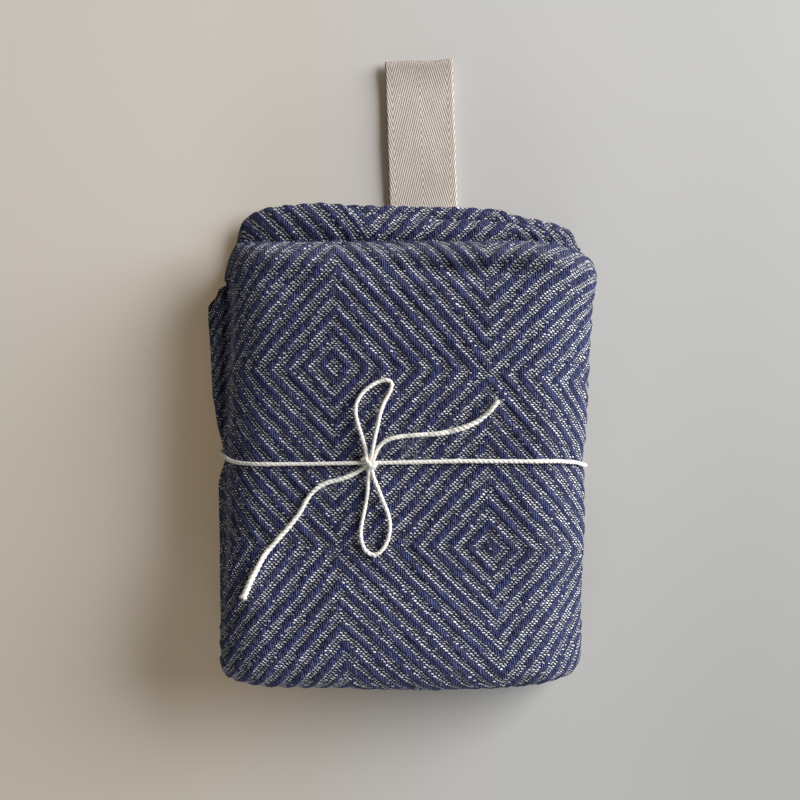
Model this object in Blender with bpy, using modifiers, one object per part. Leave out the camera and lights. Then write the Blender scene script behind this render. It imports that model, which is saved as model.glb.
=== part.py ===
"""A linen towel folded into a bundle, with its tape hanging loop and the twine bow that holds it.

The towel is one sheet.  Its width is folded twice into a strip of four plies, and the strip's length is
folded twice into four runs, so the bundle is sixteen plies thick.  X runs across the strip, Y along it
towards the hanging loop, and Z up from the surface that the bundle lies on.
"""
import math

import bmesh
import bpy
import numpy as np
from mathutils import Vector
from mathutils.bvhtree import BVHTree

# the cloth and how it is folded, in metres
CLOTH_THICKNESS = 0.0016
PLY_PITCH = 0.0024
PLIES_IN_STRIP = 4
STRIP_PITCH = PLIES_IN_STRIP * PLY_PITCH
HALF_WIDTH = 0.0642
RIGHT_X = 0.0649            # outside of the side fold, which lies a little further out than the -X side

FRONT_END_Y = -0.1121       # outside of the big fold that wraps the whole bundle
REAR_FOLD_Y = 0.0439        # outside of the fold at the rear of the top panel
SEWN_HEM_Y = 0.0500         # hem of the ply that the hanging loop is sewn to
EVEN_LENGTH_Y = 0.0250      # the plies only differ in length past here
SELVEDGE_INSET = 0.0015     # the selvedges lie this far inside the block's -X side
INNER_SELVEDGE_INSET = 0.0012
LEFT_FOLD_INSET = 0.0018

# the two rear hems from above, X and Y of their outlines
UPPER_HEM = (
    (-0.0655, 0.0300), (-0.0610, 0.0430), (-0.0578, 0.0545), (-0.0508, 0.0580), (-0.0284, 0.0598),
    (-0.0172, 0.0576), (0.0044, 0.0552), (0.0367, 0.0527), (0.0602, 0.0498), (0.0632, 0.0468),
    (0.0655, 0.0425),
)
LOWER_HEM = (
    (-0.0655, 0.0300), (-0.0600, 0.0440), (-0.0550, 0.0548), (-0.0480, 0.0570), (-0.0400, 0.0577),
    (-0.0152, 0.0600), (0.0225, 0.0590), (0.0362, 0.0584), (0.0605, 0.0522), (0.0645, 0.0488),
    (0.0668, 0.0435),
)
UPPER_HEM_STEP = 0.55       # each ply of a hem ends short of the longest, by this share of its depth
LOWER_HEM_STEP = 0.45

# the top strip's -X side: Y, how far its fold is drawn in, how far its two lower plies reach past it
TOP_STRIP_SIDE = (
    (-0.0900, 0.0004, 0.0000), (-0.0700, 0.0008, 0.0010), (-0.0520, 0.0010, 0.0018),
    (-0.0400, 0.0010, 0.0019), (-0.0345, 0.0009, 0.0008), (-0.0310, 0.0007, 0.0006),
    (-0.0250, 0.0006, 0.0016), (-0.0180, 0.0007, 0.0037), (-0.0095, 0.0006, 0.0058),
    (-0.0009, 0.0004, 0.0068), (0.0095, 0.0003, 0.0079), (0.0170, 0.0000, 0.0089),
    (0.0228, -0.0003, 0.0091), (0.0262, -0.0004, 0.0056), (0.0279, -0.0005, 0.0058),
    (0.0310, -0.0012, 0.0000), (0.0330, -0.0026, 0.0000), (0.0350, -0.0030, 0.0000),
)
REAR_BULGE = 0.0030         # the rear fold stands out this far at -X
REAR_BULGE_Y = (0.015, 0.027)

# how the block of plies is softened
EDGE_PRESS = 0.925          # share of the height left away from the crown
CROWN = 0.15                # share of the height gained in the middle
CROWN_FLATNESS = 10         # how squarely the crown ends toward the front and the rear
WAIST = 0.38                # share of the crown that the twine takes away
WAIST_LENGTH = 0.030
RIGHT_ROLL_WIDTH = 0.020    # the sides round off over these widths
LEFT_ROLL_WIDTH = 0.018
ROLL_DROP = 0.25            # share of the height lost at the sides
LEAN = 0.036                # the top slopes up to +X
LEAN_Y = (-0.080, -0.060)
FRONT_LEAN = 0.120          # and down to +X at the front fold
FRONT_LEAN_Y = (-0.052, -0.082)
FRONT_SQUARENESS = 5        # the front fold is boxier than a half round, for which this would be 2
FRONT_MIDDLE_X = 0.0007
LEFT_CORNER = (0.0098, 5, 0.0643)    # how far a front corner falls back, how square it is, half its width
RIGHT_CORNER = (0.0100, 4, 0.0652)
FRONT_ROUND_FADE = 0.042
FRONT_SLANT = 0.0015        # the front edge lies this much further back toward -X
FRONT_SLANT_X = (0.010, -0.030)
REAR_SKEW = 0.0031          # the rear of the top panel leans to +X
REAR_SKEW_Y = (-0.045, 0.040)
REAR_SKEW_LEVEL = (0.30, 0.65)
RIGHT_FALL = 0.0068         # how far the top strip's two rear corners fall back
RIGHT_FALL_X = (0.0400, 0.0645)
RIGHT_FALL_Y = (0.012, 0.042)
RIGHT_FALL_BEND = 2.2
LEFT_FALL = 0.0075
LEFT_FALL_X = (-0.0590, -0.0650)
LEFT_FALL_Y = (0.029, 0.042)
LEFT_FALL_BEND = 2.4
REAR_THINNING = 0.52        # share of the height that the two lower strips lose at the rear, toward -X
REAR_THINNING_X = (-0.010, -0.058)
REAR_THINNING_Y = (0.030, 0.042)
BARREL = 0.012              # share of the width lost at the lowest and highest plies
BAND_DENT = 0.0011          # how deep the twine sinks the top
PINCH = 0.0008              # how far the twine draws the sides in
PINCH_Y = -0.0315
PINCH_LENGTH = 0.0050
PINCH_X = (0.050, 0.062)

# the hanging loop
TAPE_WIDTH = 0.0247
TAPE_THICKNESS = 0.0006
TAPE_FOLD_RADIUS = 0.00055
TAPE_ROOT_Y = 0.0505
TAPE_END_Y = 0.1132
TAPE_ROOT_X = 0.0089
TAPE_END_X = 0.0068
TAPE_FLAT_SHARE = 0.985     # the rest of the length is its fold
TAPE_HEIGHTS = (0.0011, 0.0011, 0.0017, 0.0019, 0.0017, 0.0017, 0.0023)

# the twine
TWINE_DIAMETER = 0.0019
TWINE_RADIUS = TWINE_DIAMETER / 2
TWINE_GAP = 0.0004
BAND_GAP = 0.0008            # the band is straight between its points, so its corners need more
BAND_TOP_Y = -0.0327
BAND_DRIFT = 0.0005          # under the bundle the band lies this much nearer the rear
BAND_SLANT = 0.050
BAND_SPREAD = 0.0024         # the band bears on the cloth this far to either side of its line
BAND_POINT_SPACING = 0.0043
LOOP_POINT_SPACING = 0.0030
TAIL_POINT_SPACING = 0.0045
BAND_TUNNEL_SHIFT = 0.0015
BAND_TUNNEL_HALF_WIDTH = 0.0065
BAND_TUNNEL_RAMP = 0.006
BAND_TUNNEL_HEIGHT = TWINE_DIAMETER + 0.0006
KNOT_CENTRE = (-0.0104, -0.0324)
KNOT_RADII = (0.0030, 0.0029, 0.0020)
KNOT_SKEW = 0.12

# plan places of the twine's free stretches: x and y in metres, and lift above the cloth
UPPER_LOOP_ROUTE = (
    (-0.0114, -0.0284, 0.0016), (-0.0120, -0.0264, 0.0012), (-0.0131, -0.0230, 0.0010),
    (-0.0145, -0.0183, 0.0009), (-0.0151, -0.0146, 0.0010), (-0.0144, -0.0114, 0.0010),
    (-0.0122, -0.0083, 0.0009), (-0.0092, -0.0060, 0.0007), (-0.0063, -0.0047, 0.0006),
    (-0.0042, -0.0045, 0.0006), (-0.0028, -0.0057, 0.0006), (-0.0034, -0.0083, 0.0007),
    (-0.0052, -0.0117, 0.0010), (-0.0066, -0.0154, 0.0014), (-0.0076, -0.0198, 0.0018),
    (-0.0086, -0.0244, 0.0022), (-0.0090, -0.0281, 0.0024),
)
LOWER_LOOP_ROUTE = (
    (-0.0112, -0.0366, 0.0010), (-0.0109, -0.0388, 0.0007), (-0.0111, -0.0430, 0.0005),
    (-0.0119, -0.0479, 0.0005), (-0.0130, -0.0531, 0.0005), (-0.0133, -0.0570, 0.0006),
    (-0.0125, -0.0605, 0.0006), (-0.0108, -0.0628, 0.0006), (-0.0085, -0.0634, 0.0006),
    (-0.0062, -0.0620, 0.0006), (-0.0043, -0.0588, 0.0006), (-0.0034, -0.0545, 0.0006),
    (-0.0040, -0.0500, 0.0007), (-0.0056, -0.0458, 0.0009), (-0.0073, -0.0415, 0.0011),
    (-0.0083, -0.0369, 0.0014),
)
UPPER_TAIL_ROUTE = (
    (-0.0065, -0.0300, 0.0003), (-0.0061, -0.0273, 0.0002), (-0.0045, -0.0252, 0.0002),
    (-0.0018, -0.0240, 0.0001), (0.0030, -0.0233, 0.0001), (0.0080, -0.0229, 0.0001),
    (0.0128, -0.0226, 0.0001), (0.0178, -0.0216, 0.0003), (0.0225, -0.0202, 0.0005),
    (0.0268, -0.0180, 0.0007), (0.0303, -0.0149, 0.0010), (0.0331, -0.0115, 0.0013),
)
LOWER_TAIL_ROUTE = (
    (-0.0142, -0.0352, 0.0004), (-0.0163, -0.0365, 0.0003), (-0.0205, -0.0382, 0.0001),
    (-0.0250, -0.0394, 0.0000), (-0.0289, -0.0417, 0.0000), (-0.0318, -0.0452, 0.0000),
    (-0.0343, -0.0497, 0.0000), (-0.0380, -0.0545, 0.0000), (-0.0424, -0.0595, 0.0000),
    (-0.0461, -0.0640, 0.0001), (-0.0488, -0.0691, 0.0002), (-0.0510, -0.0735, 0.0003),
    (-0.0529, -0.0779, 0.0004),
)

LINEN_BLUE = (0.085, 0.095, 0.20)
TAPE_ECRU = (0.70, 0.62, 0.53)
TWINE_CREAM = (0.80, 0.75, 0.64)

# distances worked out from the sizes above
STACK_HEIGHT = 4 * STRIP_PITCH - (PLY_PITCH - CLOTH_THICKNESS)
OUTER_PLY = 1.5 * PLY_PITCH
INNER_PLY = 0.5 * PLY_PITCH
LOWEST_RUN_Z = OUTER_PLY + CLOTH_THICKNESS / 2
WRAP_RADIUS = 1.5 * STRIP_PITCH
FOLD_RADIUS = 0.5 * STRIP_PITCH
WRAP_CENTRE_Y = FRONT_END_Y + WRAP_RADIUS + OUTER_PLY + CLOTH_THICKNESS / 2
REAR_FOLD_CENTRE_Y = REAR_FOLD_Y - FOLD_RADIUS - OUTER_PLY - CLOTH_THICKNESS / 2
SIDE_FOLD_X = RIGHT_X - OUTER_PLY - CLOTH_THICKNESS / 2
LEFT_FOLD_X = LEFT_FOLD_INSET + INNER_PLY + CLOTH_THICKNESS / 2 - HALF_WIDTH
SELVEDGE_X = SELVEDGE_INSET - HALF_WIDTH
UPPER_HEM_Y = max(y_along for _, y_along in UPPER_HEM)
LOWER_HEM_Y = max(y_along for _, y_along in LOWER_HEM)
BUNDLE_MIDDLE_Y = (REAR_FOLD_Y + FRONT_END_Y) / 2


def clear_scene():
    for obj in list(bpy.data.objects):
        bpy.data.objects.remove(obj, do_unlink=True)


def smooth(value):
    value = min(1.0, max(0.0, value))
    return value * value * (3 - 2 * value)


def mix(start, end, share):
    return start + (end - start) * share


def share_of(span, value, highest=1.0):
    """How far a value is along a span: 0 before its start, and no more than the highest share."""
    return min(highest, max(0.0, (value - span[0]) / (span[1] - span[0])))


def finish_material(name, colour, roughness):
    material = bpy.data.materials.new(name)
    material.use_nodes = True
    shader = material.node_tree.nodes["Principled BSDF"]
    shader.inputs["Base Color"].default_value = (*colour, 1.0)
    shader.inputs["Roughness"].default_value = roughness
    shader.inputs["Metallic"].default_value = 0.0
    return material


def add_part(name, mesh, material, collection):
    mesh.materials.clear()
    mesh.materials.append(material)
    part = bpy.data.objects.new(name, mesh)
    collection.objects.link(part)
    return part


# ---- the folded cloth ----

def strip_section():
    """Stations across the towel's width: which ply or side fold, and how far along it."""
    section = [("bottom_ply", share) for share in (0, 0.06, 0.13, 0.3, 0.5, 0.7, 0.87, 1)]
    section += [("outer_side_fold", step / 5) for step in range(1, 5)]
    section += [("face_ply", share) for share in (0, 0.06, 0.13, 0.25, 0.4, 0.6, 0.75, 0.87, 0.94, 1)]
    section += [("left_fold", step / 3) for step in range(1, 3)]
    section += [("second_ply", share) for share in (0, 0.13, 0.35, 0.65, 0.87, 1)]
    section += [("inner_side_fold", step / 3) for step in range(1, 3)]
    section += [("third_ply", share) for share in (0, 0.13, 0.35, 0.65, 0.87, 1)]
    return section


def place_in_strip(station, selvedge_x, left_x):
    """X across the strip and W, the height over the strip's middle, at one station of the section."""
    piece, share = station
    if piece == "bottom_ply":
        return mix(selvedge_x, SIDE_FOLD_X, share), -OUTER_PLY
    if piece == "outer_side_fold":
        angle = math.pi * (share - 0.5)
        return SIDE_FOLD_X + OUTER_PLY * math.cos(angle), OUTER_PLY * math.sin(angle)
    if piece == "face_ply":
        return mix(SIDE_FOLD_X, left_x, share), OUTER_PLY
    if piece == "left_fold":
        angle = math.pi * (0.5 - share)
        middle = (OUTER_PLY + INNER_PLY) / 2
        return left_x - PLY_PITCH / 2 * math.cos(angle), middle + PLY_PITCH / 2 * math.sin(angle)
    if piece == "second_ply":
        return mix(left_x, SIDE_FOLD_X, share), INNER_PLY
    if piece == "inner_side_fold":
        angle = math.pi * (0.5 - share)
        return SIDE_FOLD_X + INNER_PLY * math.cos(angle), INNER_PLY * math.sin(angle)
    return mix(SIDE_FOLD_X, selvedge_x + INNER_SELVEDGE_INSET, share), -INNER_PLY


def strip_path():
    """Stations along the towel's length: which run or turn, and how far along it.

    A run's stations are its own Y places, closer together where the twine or the loose flap bends it.
    """
    at_band = [BAND_TOP_Y + shift for shift in (0.0110, 0.0055, 0.0010, -0.0040, -0.0080, -0.0145)]
    lower_stations = [LOWER_HEM_Y, 0.052, 0.042, EVEN_LENGTH_Y, 0.002] + at_band + [-0.070, WRAP_CENTRE_Y]
    top_stations = [WRAP_CENTRE_Y, -0.084, -0.068] + at_band[::-1]
    top_stations += [-0.012, 0.003, 0.015, 0.023, 0.027, 0.031, REAR_FOLD_CENTRE_Y]
    inner_stations = [REAR_FOLD_CENTRE_Y, 0.015] + at_band[1:-1] + [-0.062, WRAP_CENTRE_Y]
    upper_stations = [WRAP_CENTRE_Y, -0.066] + at_band[-2:0:-1] + [0.002, EVEN_LENGTH_Y, 0.040, 0.050,
                                                                    UPPER_HEM_Y]
    path = [("lower_run", place) for place in lower_stations]
    path += [("outer_wrap", step / 8) for step in range(1, 8)]
    path += [("top_run", place) for place in top_stations]
    path += [("rear_fold", step / 5) for step in range(1, 5)]
    path += [("inner_run", place) for place in inner_stations]
    path += [("inner_wrap", step / 4) for step in range(1, 4)]
    path += [("upper_run", place) for place in upper_stations]
    return path


def hem_y(run, x_across, height):
    """Where a run's hem ends, at one place across it and one height over the strip's middle."""
    if run == "upper_run":
        return float(np.interp(x_across, *zip(*UPPER_HEM))) - UPPER_HEM_STEP * (OUTER_PLY - height)
    hem = float(np.interp(x_across, *zip(*LOWER_HEM))) - LOWER_HEM_STEP * (height + OUTER_PLY)
    sewn_ply = height > (OUTER_PLY + INNER_PLY) / 2
    return min(SEWN_HEM_Y, hem) if sewn_ply else hem


def side_places(run, y_along):
    """X of the strip's selvedge and of its folded -X edge."""
    if run == "top_run":
        places, drawn_in, reach = zip(*TOP_STRIP_SIDE)
        return (SELVEDGE_X - float(np.interp(y_along, places, reach)),
                LEFT_FOLD_X + float(np.interp(y_along, places, drawn_in)))
    if run == "rear_fold":
        return SELVEDGE_X, LEFT_FOLD_X - REAR_BULGE
    if run == "inner_run":
        return SELVEDGE_X, LEFT_FOLD_X - REAR_BULGE * smooth(share_of(REAR_BULGE_Y, y_along))
    return SELVEDGE_X, LEFT_FOLD_X


def front_swell(turn):
    """How much further out than a half round the front fold lies, at one place of its turn."""
    sides = abs(math.sin(turn)) ** FRONT_SQUARENESS + abs(math.cos(turn)) ** FRONT_SQUARENESS
    return sides ** (-1 / FRONT_SQUARENESS)


def cloth_point(section_station, path_station):
    run, place = path_station
    selvedge_x, left_x = side_places(run, place)
    x_across, height = place_in_strip(section_station, selvedge_x, left_x)
    run_z = {"lower_run": 0, "upper_run": 1, "inner_run": 2, "top_run": 3}
    if run in run_z:
        facing = -1 if run in ("lower_run", "inner_run") else 1
        z_up = LOWEST_RUN_Z + run_z[run] * STRIP_PITCH + facing * height
        if place > EVEN_LENGTH_Y and run in ("lower_run", "upper_run"):
            longest = LOWER_HEM_Y if run == "lower_run" else UPPER_HEM_Y
            share = (place - EVEN_LENGTH_Y) / (longest - EVEN_LENGTH_Y)
            place = mix(EVEN_LENGTH_Y, hem_y(run, x_across, height), share)
        return Vector((x_across, place, z_up))
    turn = math.pi * place
    middle_z = LOWEST_RUN_Z + 1.5 * STRIP_PITCH
    if run == "outer_wrap":
        radius = (WRAP_RADIUS + height) * front_swell(turn)
        y_along = WRAP_CENTRE_Y - radius * math.sin(turn)
        return Vector((x_across, y_along, middle_z - radius * math.cos(turn)))
    if run == "rear_fold":
        radius = FOLD_RADIUS + height
        y_along = REAR_FOLD_CENTRE_Y + radius * math.sin(turn)
        return Vector((x_across, y_along, middle_z + STRIP_PITCH + radius * math.cos(turn)))
    radius = (FOLD_RADIUS - height) * front_swell(turn)
    y_along = WRAP_CENTRE_Y - radius * math.sin(turn)
    return Vector((x_across, y_along, middle_z + radius * math.cos(turn)))


def pressed_height(x_across, y_along, z_up):
    """The height left by the bundle's own weight and by the twine, which also runs in a tunnel below."""
    level = z_up / STACK_HEIGHT
    roll_width = LEFT_ROLL_WIDTH if x_across < 0 else RIGHT_ROLL_WIDTH
    side = min(1.3, max(0.0, abs(x_across) - (HALF_WIDTH - roll_width)) / roll_width)
    inward = max(0.0, 1 - (x_across / HALF_WIDTH) ** 2)
    along = (y_along - BUNDLE_MIDDLE_Y) / (REAR_FOLD_Y - BUNDLE_MIDDLE_Y)
    off_band = y_along - BAND_TOP_Y
    waist = 1 - WAIST * math.exp(-(off_band / WAIST_LENGTH) ** 2)
    crown = CROWN * inward * max(0.0, 1 - along ** CROWN_FLATNESS) * waist
    dent = BAND_DENT * math.exp(-(off_band / BAND_TUNNEL_RAMP) ** 2)
    past_tunnel = abs(off_band + BAND_TUNNEL_SHIFT) - BAND_TUNNEL_HALF_WIDTH
    tunnel = BAND_TUNNEL_HEIGHT * (1 - smooth(past_tunnel / BAND_TUNNEL_RAMP))
    return z_up * (EDGE_PRESS + crown - ROLL_DROP * side ** 2) - dent * level + tunnel * (1 - level)


def rounded_ends(x_across, y_along, in_top_strip):
    """Y with the front corners fallen back, and the top strip's rear corners too."""
    depth, squareness, half_width = LEFT_CORNER if x_across < 0 else RIGHT_CORNER
    corner = min(1.0, abs(x_across - FRONT_MIDDLE_X) / half_width)
    fall_back = depth * (1 - (1 - corner ** squareness) ** (1 / 3))
    fall_back += FRONT_SLANT * smooth(share_of(FRONT_SLANT_X, x_across))
    y_along += fall_back * (1 - smooth((y_along - FRONT_END_Y) / FRONT_ROUND_FADE))
    if not in_top_strip:
        return y_along
    right = RIGHT_FALL * share_of(RIGHT_FALL_X, x_across, 1.1) ** RIGHT_FALL_BEND
    left = LEFT_FALL * share_of(LEFT_FALL_X, x_across, 1.1) ** LEFT_FALL_BEND
    right *= smooth(share_of(RIGHT_FALL_Y, y_along))
    left *= smooth(share_of(LEFT_FALL_Y, y_along))
    return y_along - right - left


def soften(point):
    """Round the stack of plies into a soft bundle, with the twine's dent above and its tunnel below."""
    x_across, y_along, z_up = point
    level = z_up / STACK_HEIGHT
    in_top_strip = level > 0.5
    if not in_top_strip:
        thinned = share_of(REAR_THINNING_X, x_across, 1.1) ** 1.6
        z_up *= 1 - REAR_THINNING * thinned * smooth(share_of(REAR_THINNING_Y, y_along))
    z_up = pressed_height(x_across, y_along, z_up)
    y_along = rounded_ends(x_across, y_along, in_top_strip)
    lean = LEAN * smooth(share_of(LEAN_Y, y_along)) - FRONT_LEAN * smooth(share_of(FRONT_LEAN_Y, y_along))
    z_up += lean * x_across * level
    skew = REAR_SKEW * smooth(share_of(REAR_SKEW_Y, y_along)) * smooth(share_of(REAR_SKEW_LEVEL, level))
    barrel = 1 - BARREL * (2 * level - 1) ** 2
    drawn_in = PINCH * smooth(share_of(PINCH_X, abs(x_across)))
    drawn_in *= math.exp(-((y_along - PINCH_Y) / PINCH_LENGTH) ** 2)
    x_across = x_across * barrel + skew - math.copysign(drawn_in, x_across)
    return Vector((x_across, y_along, max(0.0, z_up)))


def build_cloth(collection):
    section = strip_section()
    path = strip_path()
    sheet = bpy.data.meshes.new("cloth_sheet")
    mesh = bmesh.new()
    rows = [[mesh.verts.new(cloth_point(across, along)) for across in section] for along in path]
    for row, next_row in zip(rows, rows[1:]):
        for index in range(len(section) - 1):
            mesh.faces.new((row[index], row[index + 1], next_row[index + 1], next_row[index]))
    mesh.to_mesh(sheet)
    mesh.free()
    folded = bpy.data.objects.new("cloth_sheet", sheet)
    collection.objects.link(folded)
    thicken = folded.modifiers.new("thickness", "SOLIDIFY")
    thicken.thickness = CLOTH_THICKNESS
    thicken.offset = 0.0
    thicken.use_even_offset = True
    evaluated = folded.evaluated_get(bpy.context.evaluated_depsgraph_get())
    solid = bpy.data.meshes.new_from_object(evaluated)
    bpy.data.objects.remove(folded, do_unlink=True)
    for vertex in solid.vertices:
        vertex.co = soften(vertex.co)
    point_faces_out(solid)
    solid.name = "cloth"
    return add_part("cloth", solid, finish_material("blue_linen", LINEN_BLUE, 0.9), collection)


def point_faces_out(mesh_data):
    mesh = bmesh.new()
    mesh.from_mesh(mesh_data)
    bmesh.ops.triangulate(mesh, faces=mesh.faces[:])
    bmesh.ops.recalc_face_normals(mesh, faces=mesh.faces[:])
    if mesh.calc_volume(signed=True) < 0:
        bmesh.ops.reverse_faces(mesh, faces=mesh.faces[:])
    mesh.to_mesh(mesh_data)
    mesh.free()


# ---- the hanging loop ----

def tape_centre(share):
    """X, Y and Z of the middle of the doubled tape, from its sewn root to its folded end."""
    height = float(np.interp(share * (len(TAPE_HEIGHTS) - 1), range(len(TAPE_HEIGHTS)), TAPE_HEIGHTS))
    return mix(TAPE_ROOT_X, TAPE_END_X, share), mix(TAPE_ROOT_Y, TAPE_END_Y, share), height


def build_hanging_loop(collection):
    """A strip of tape doubled over: out along the lower ply, round the fold, back along the upper ply."""
    steps = 12
    outward = [TAPE_FLAT_SHARE * step / steps for step in range(steps + 1)]
    stations = [(share, -1, 0.0) for share in outward]
    stations += [(TAPE_FLAT_SHARE, math.sin(turn), math.cos(turn)) for turn in (-0.8, 0.0, 0.8)]
    stations += [(share, 1, 0.0) for share in reversed(outward)]
    lean = (TAPE_ROOT_X - TAPE_END_X) / (TAPE_END_Y - TAPE_ROOT_Y)
    mesh = bmesh.new()
    rows = []
    for share, level, forward in stations:
        x_mid, y_mid, z_mid = tape_centre(share)
        row = []
        for side in (-TAPE_WIDTH / 2, 0.0, TAPE_WIDTH / 2):
            place = (x_mid + side,
                     y_mid + forward * TAPE_FOLD_RADIUS + side * lean,
                     z_mid + level * TAPE_FOLD_RADIUS)
            row.append(mesh.verts.new(place))
        rows.append(row)
    for row, next_row in zip(rows, rows[1:]):
        for index in range(2):
            mesh.faces.new((row[index], row[index + 1], next_row[index + 1], next_row[index]))
    strip = bpy.data.meshes.new("hanging_loop")
    mesh.to_mesh(strip)
    mesh.free()
    part = add_part("hanging_loop", strip, finish_material("ecru_tape", TAPE_ECRU, 0.85), collection)
    thicken = part.modifiers.new("thickness", "SOLIDIFY")
    thicken.thickness = TAPE_THICKNESS
    thicken.offset = 0.0
    return part


# ---- the twine ----

def smooth_route(points, spacing):
    """Evenly spaced points on a smooth curve through the route's own points."""
    ends = [points[0] * 2 - points[1]] + list(points) + [points[-1] * 2 - points[-2]]
    fine = []
    for before, start, end, after in zip(ends, ends[1:], ends[2:], ends[3:]):
        for step in range(12):
            share = step / 12
            pull = (end - before) * share + (before * 2 - start * 5 + end * 4 - after) * share ** 2
            twist = (start * 3 - before - end * 3 + after) * share ** 3
            fine.append(start + (pull + twist) / 2)
    fine.append(points[-1].copy())
    return even_spacing(fine, spacing)


def even_spacing(points, spacing):
    lengths = [0.0]
    for start, end in zip(points, points[1:]):
        lengths.append(lengths[-1] + (end - start).length)
    count = max(2, round(lengths[-1] / spacing))
    result = []
    index = 0
    for step in range(count + 1):
        wanted = lengths[-1] * step / count
        while index < len(points) - 2 and lengths[index + 1] < wanted:
            index += 1
        stretch = lengths[index + 1] - lengths[index]
        result.append(points[index].lerp(points[index + 1], (wanted - lengths[index]) / stretch))
    return result


def twine_piece(name, points, material, collection):
    curve = bpy.data.curves.new(name, "CURVE")
    curve.dimensions = "3D"
    curve.bevel_depth = TWINE_RADIUS
    curve.bevel_resolution = 2
    curve.use_fill_caps = True
    spline = curve.splines.new("POLY")
    spline.points.add(len(points) - 1)
    for spline_point, place in zip(spline.points, points):
        spline_point.co = (*place, 1.0)
    curve.materials.append(material)
    piece = bpy.data.objects.new(name, curve)
    collection.objects.link(piece)
    return piece


def section_at(cloth, y_along):
    """Points where the plane at one Y cuts the cloth, as X and Z."""
    mesh = bmesh.new()
    mesh.from_mesh(cloth.data)
    everything = mesh.verts[:] + mesh.edges[:] + mesh.faces[:]
    cut = bmesh.ops.bisect_plane(mesh, geom=everything, plane_co=(0, y_along, 0), plane_no=(0, 1, 0))
    points = [(item.co.x, item.co.z) for item in cut["geom_cut"] if isinstance(item, bmesh.types.BMVert)]
    mesh.free()
    return points


def outer_outline(points):
    """The convex outline round a set of X, Z points, counter-clockwise."""
    ordered = sorted(set(points))
    outline = []
    for sweep in (ordered, ordered[::-1]):
        side = []
        for point in sweep:
            while len(side) > 1 and turn_left(side[-2], side[-1], point) <= 0:
                side.pop()
            side.append(point)
        outline += side[:-1]
    return outline


def turn_left(first, second, third):
    return ((second[0] - first[0]) * (third[1] - first[1])
            - (second[1] - first[1]) * (third[0] - first[0]))


def band_points(cloth):
    """The band's route: from the knot's -X side down, under the bundle and back up to its +X side."""
    cuts = []
    for shift in (BAND_SPREAD, 0.0, -BAND_SPREAD):
        cuts += section_at(cloth, BAND_TOP_Y + shift)
    outline = outer_outline(cuts)
    clearance = TWINE_RADIUS + BAND_GAP
    ring = []
    for start, end in zip(outline, outline[1:] + outline[:1]):
        length = math.hypot(end[0] - start[0], end[1] - start[1])
        out_x = (end[1] - start[1]) / length
        out_z = (start[0] - end[0]) / length
        for corner in (start, end):
            ring.append(Vector((corner[0] + out_x * clearance, 0, corner[1] + out_z * clearance)))
    ring = even_spacing(ring + ring[:1], 0.0005)
    reach = KNOT_RADII[0] + 2 * TWINE_GAP
    top_z = max(place.z for place in ring)
    in_knot = [place.z > top_z / 2 and abs(place.x - KNOT_CENTRE[0]) < reach for place in ring]
    first = 1 + max(index for index in range(len(ring) - 1) if in_knot[index] and not in_knot[index + 1])
    route = []
    for place, hidden in zip(ring[first:] + ring[:first], in_knot[first:] + in_knot[:first]):
        if not hidden:
            z_up = max(place.z, TWINE_RADIUS + 0.0001)
            drift = BAND_DRIFT - BAND_SLANT * place.x
            route.append(Vector((place.x, BAND_TOP_Y + (1 - z_up / top_z) * drift, z_up)))
    return even_spacing(route, BAND_POINT_SPACING)


def on_cloth(route, surface):
    """Lift a plan route onto the cloth, clear of it by the twine's radius and a gap."""
    reach = 0.0012
    places = []
    for x_across, y_along, lift in route:
        heights = []
        for shift_x, shift_y in ((0, 0), (reach, 0), (-reach, 0), (0, reach), (0, -reach)):
            hit = surface.ray_cast(Vector((x_across + shift_x, y_along + shift_y, 1.0)), Vector((0, 0, -1)))
            heights.append(hit[0].z)
        places.append(Vector((x_across, y_along, max(heights) + TWINE_RADIUS + TWINE_GAP + lift)))
    return places


def build_knot(surface, material, collection):
    """The bow's knot, a small flattened ball."""
    knot_x, knot_y = KNOT_CENTRE
    mesh = bmesh.new()
    bmesh.ops.create_uvsphere(mesh, u_segments=14, v_segments=8, radius=1.0)
    cloth_z = surface.ray_cast(Vector((knot_x, knot_y, 1.0)), Vector((0, 0, -1)))[0].z
    centre_z = cloth_z + TWINE_GAP + KNOT_RADII[2]
    for vertex in mesh.verts:
        vertex.co.x = knot_x + KNOT_RADII[0] * (vertex.co.x + KNOT_SKEW * vertex.co.y)
        vertex.co.y = knot_y + KNOT_RADII[1] * vertex.co.y
        vertex.co.z = centre_z + KNOT_RADII[2] * vertex.co.z
    ball = bpy.data.meshes.new("bow_knot")
    mesh.to_mesh(ball)
    mesh.free()
    ball.shade_smooth()
    return add_part("bow_knot", ball, material, collection)


def build_twine(cloth, collection):
    material = finish_material("cream_twine", TWINE_CREAM, 0.8)
    surface = BVHTree.FromPolygons([v.co for v in cloth.data.vertices],
                                   [p.vertices for p in cloth.data.polygons])
    twine_piece("tie_band", band_points(cloth), material, collection)
    build_knot(surface, material, collection)
    routes = {
        "bow_loop_upper": (UPPER_LOOP_ROUTE, LOOP_POINT_SPACING),
        "bow_loop_lower": (LOWER_LOOP_ROUTE, LOOP_POINT_SPACING),
        "tail_upper": (UPPER_TAIL_ROUTE, TAIL_POINT_SPACING),
        "tail_lower": (LOWER_TAIL_ROUTE, TAIL_POINT_SPACING),
    }
    for name, (route, spacing) in routes.items():
        twine_piece(name, smooth_route(on_cloth(route, surface), spacing), material, collection)


def build_towel():
    clear_scene()
    collection = bpy.data.collections.new("folded_linen_towel")
    bpy.context.scene.collection.children.link(collection)
    cloth = build_cloth(collection)
    build_hanging_loop(collection)
    build_twine(cloth, collection)


build_towel()
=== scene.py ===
import math
import random
import bpy
import bmesh
import numpy as np
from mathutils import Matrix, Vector, noise
from mathutils.bvhtree import BVHTree


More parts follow.
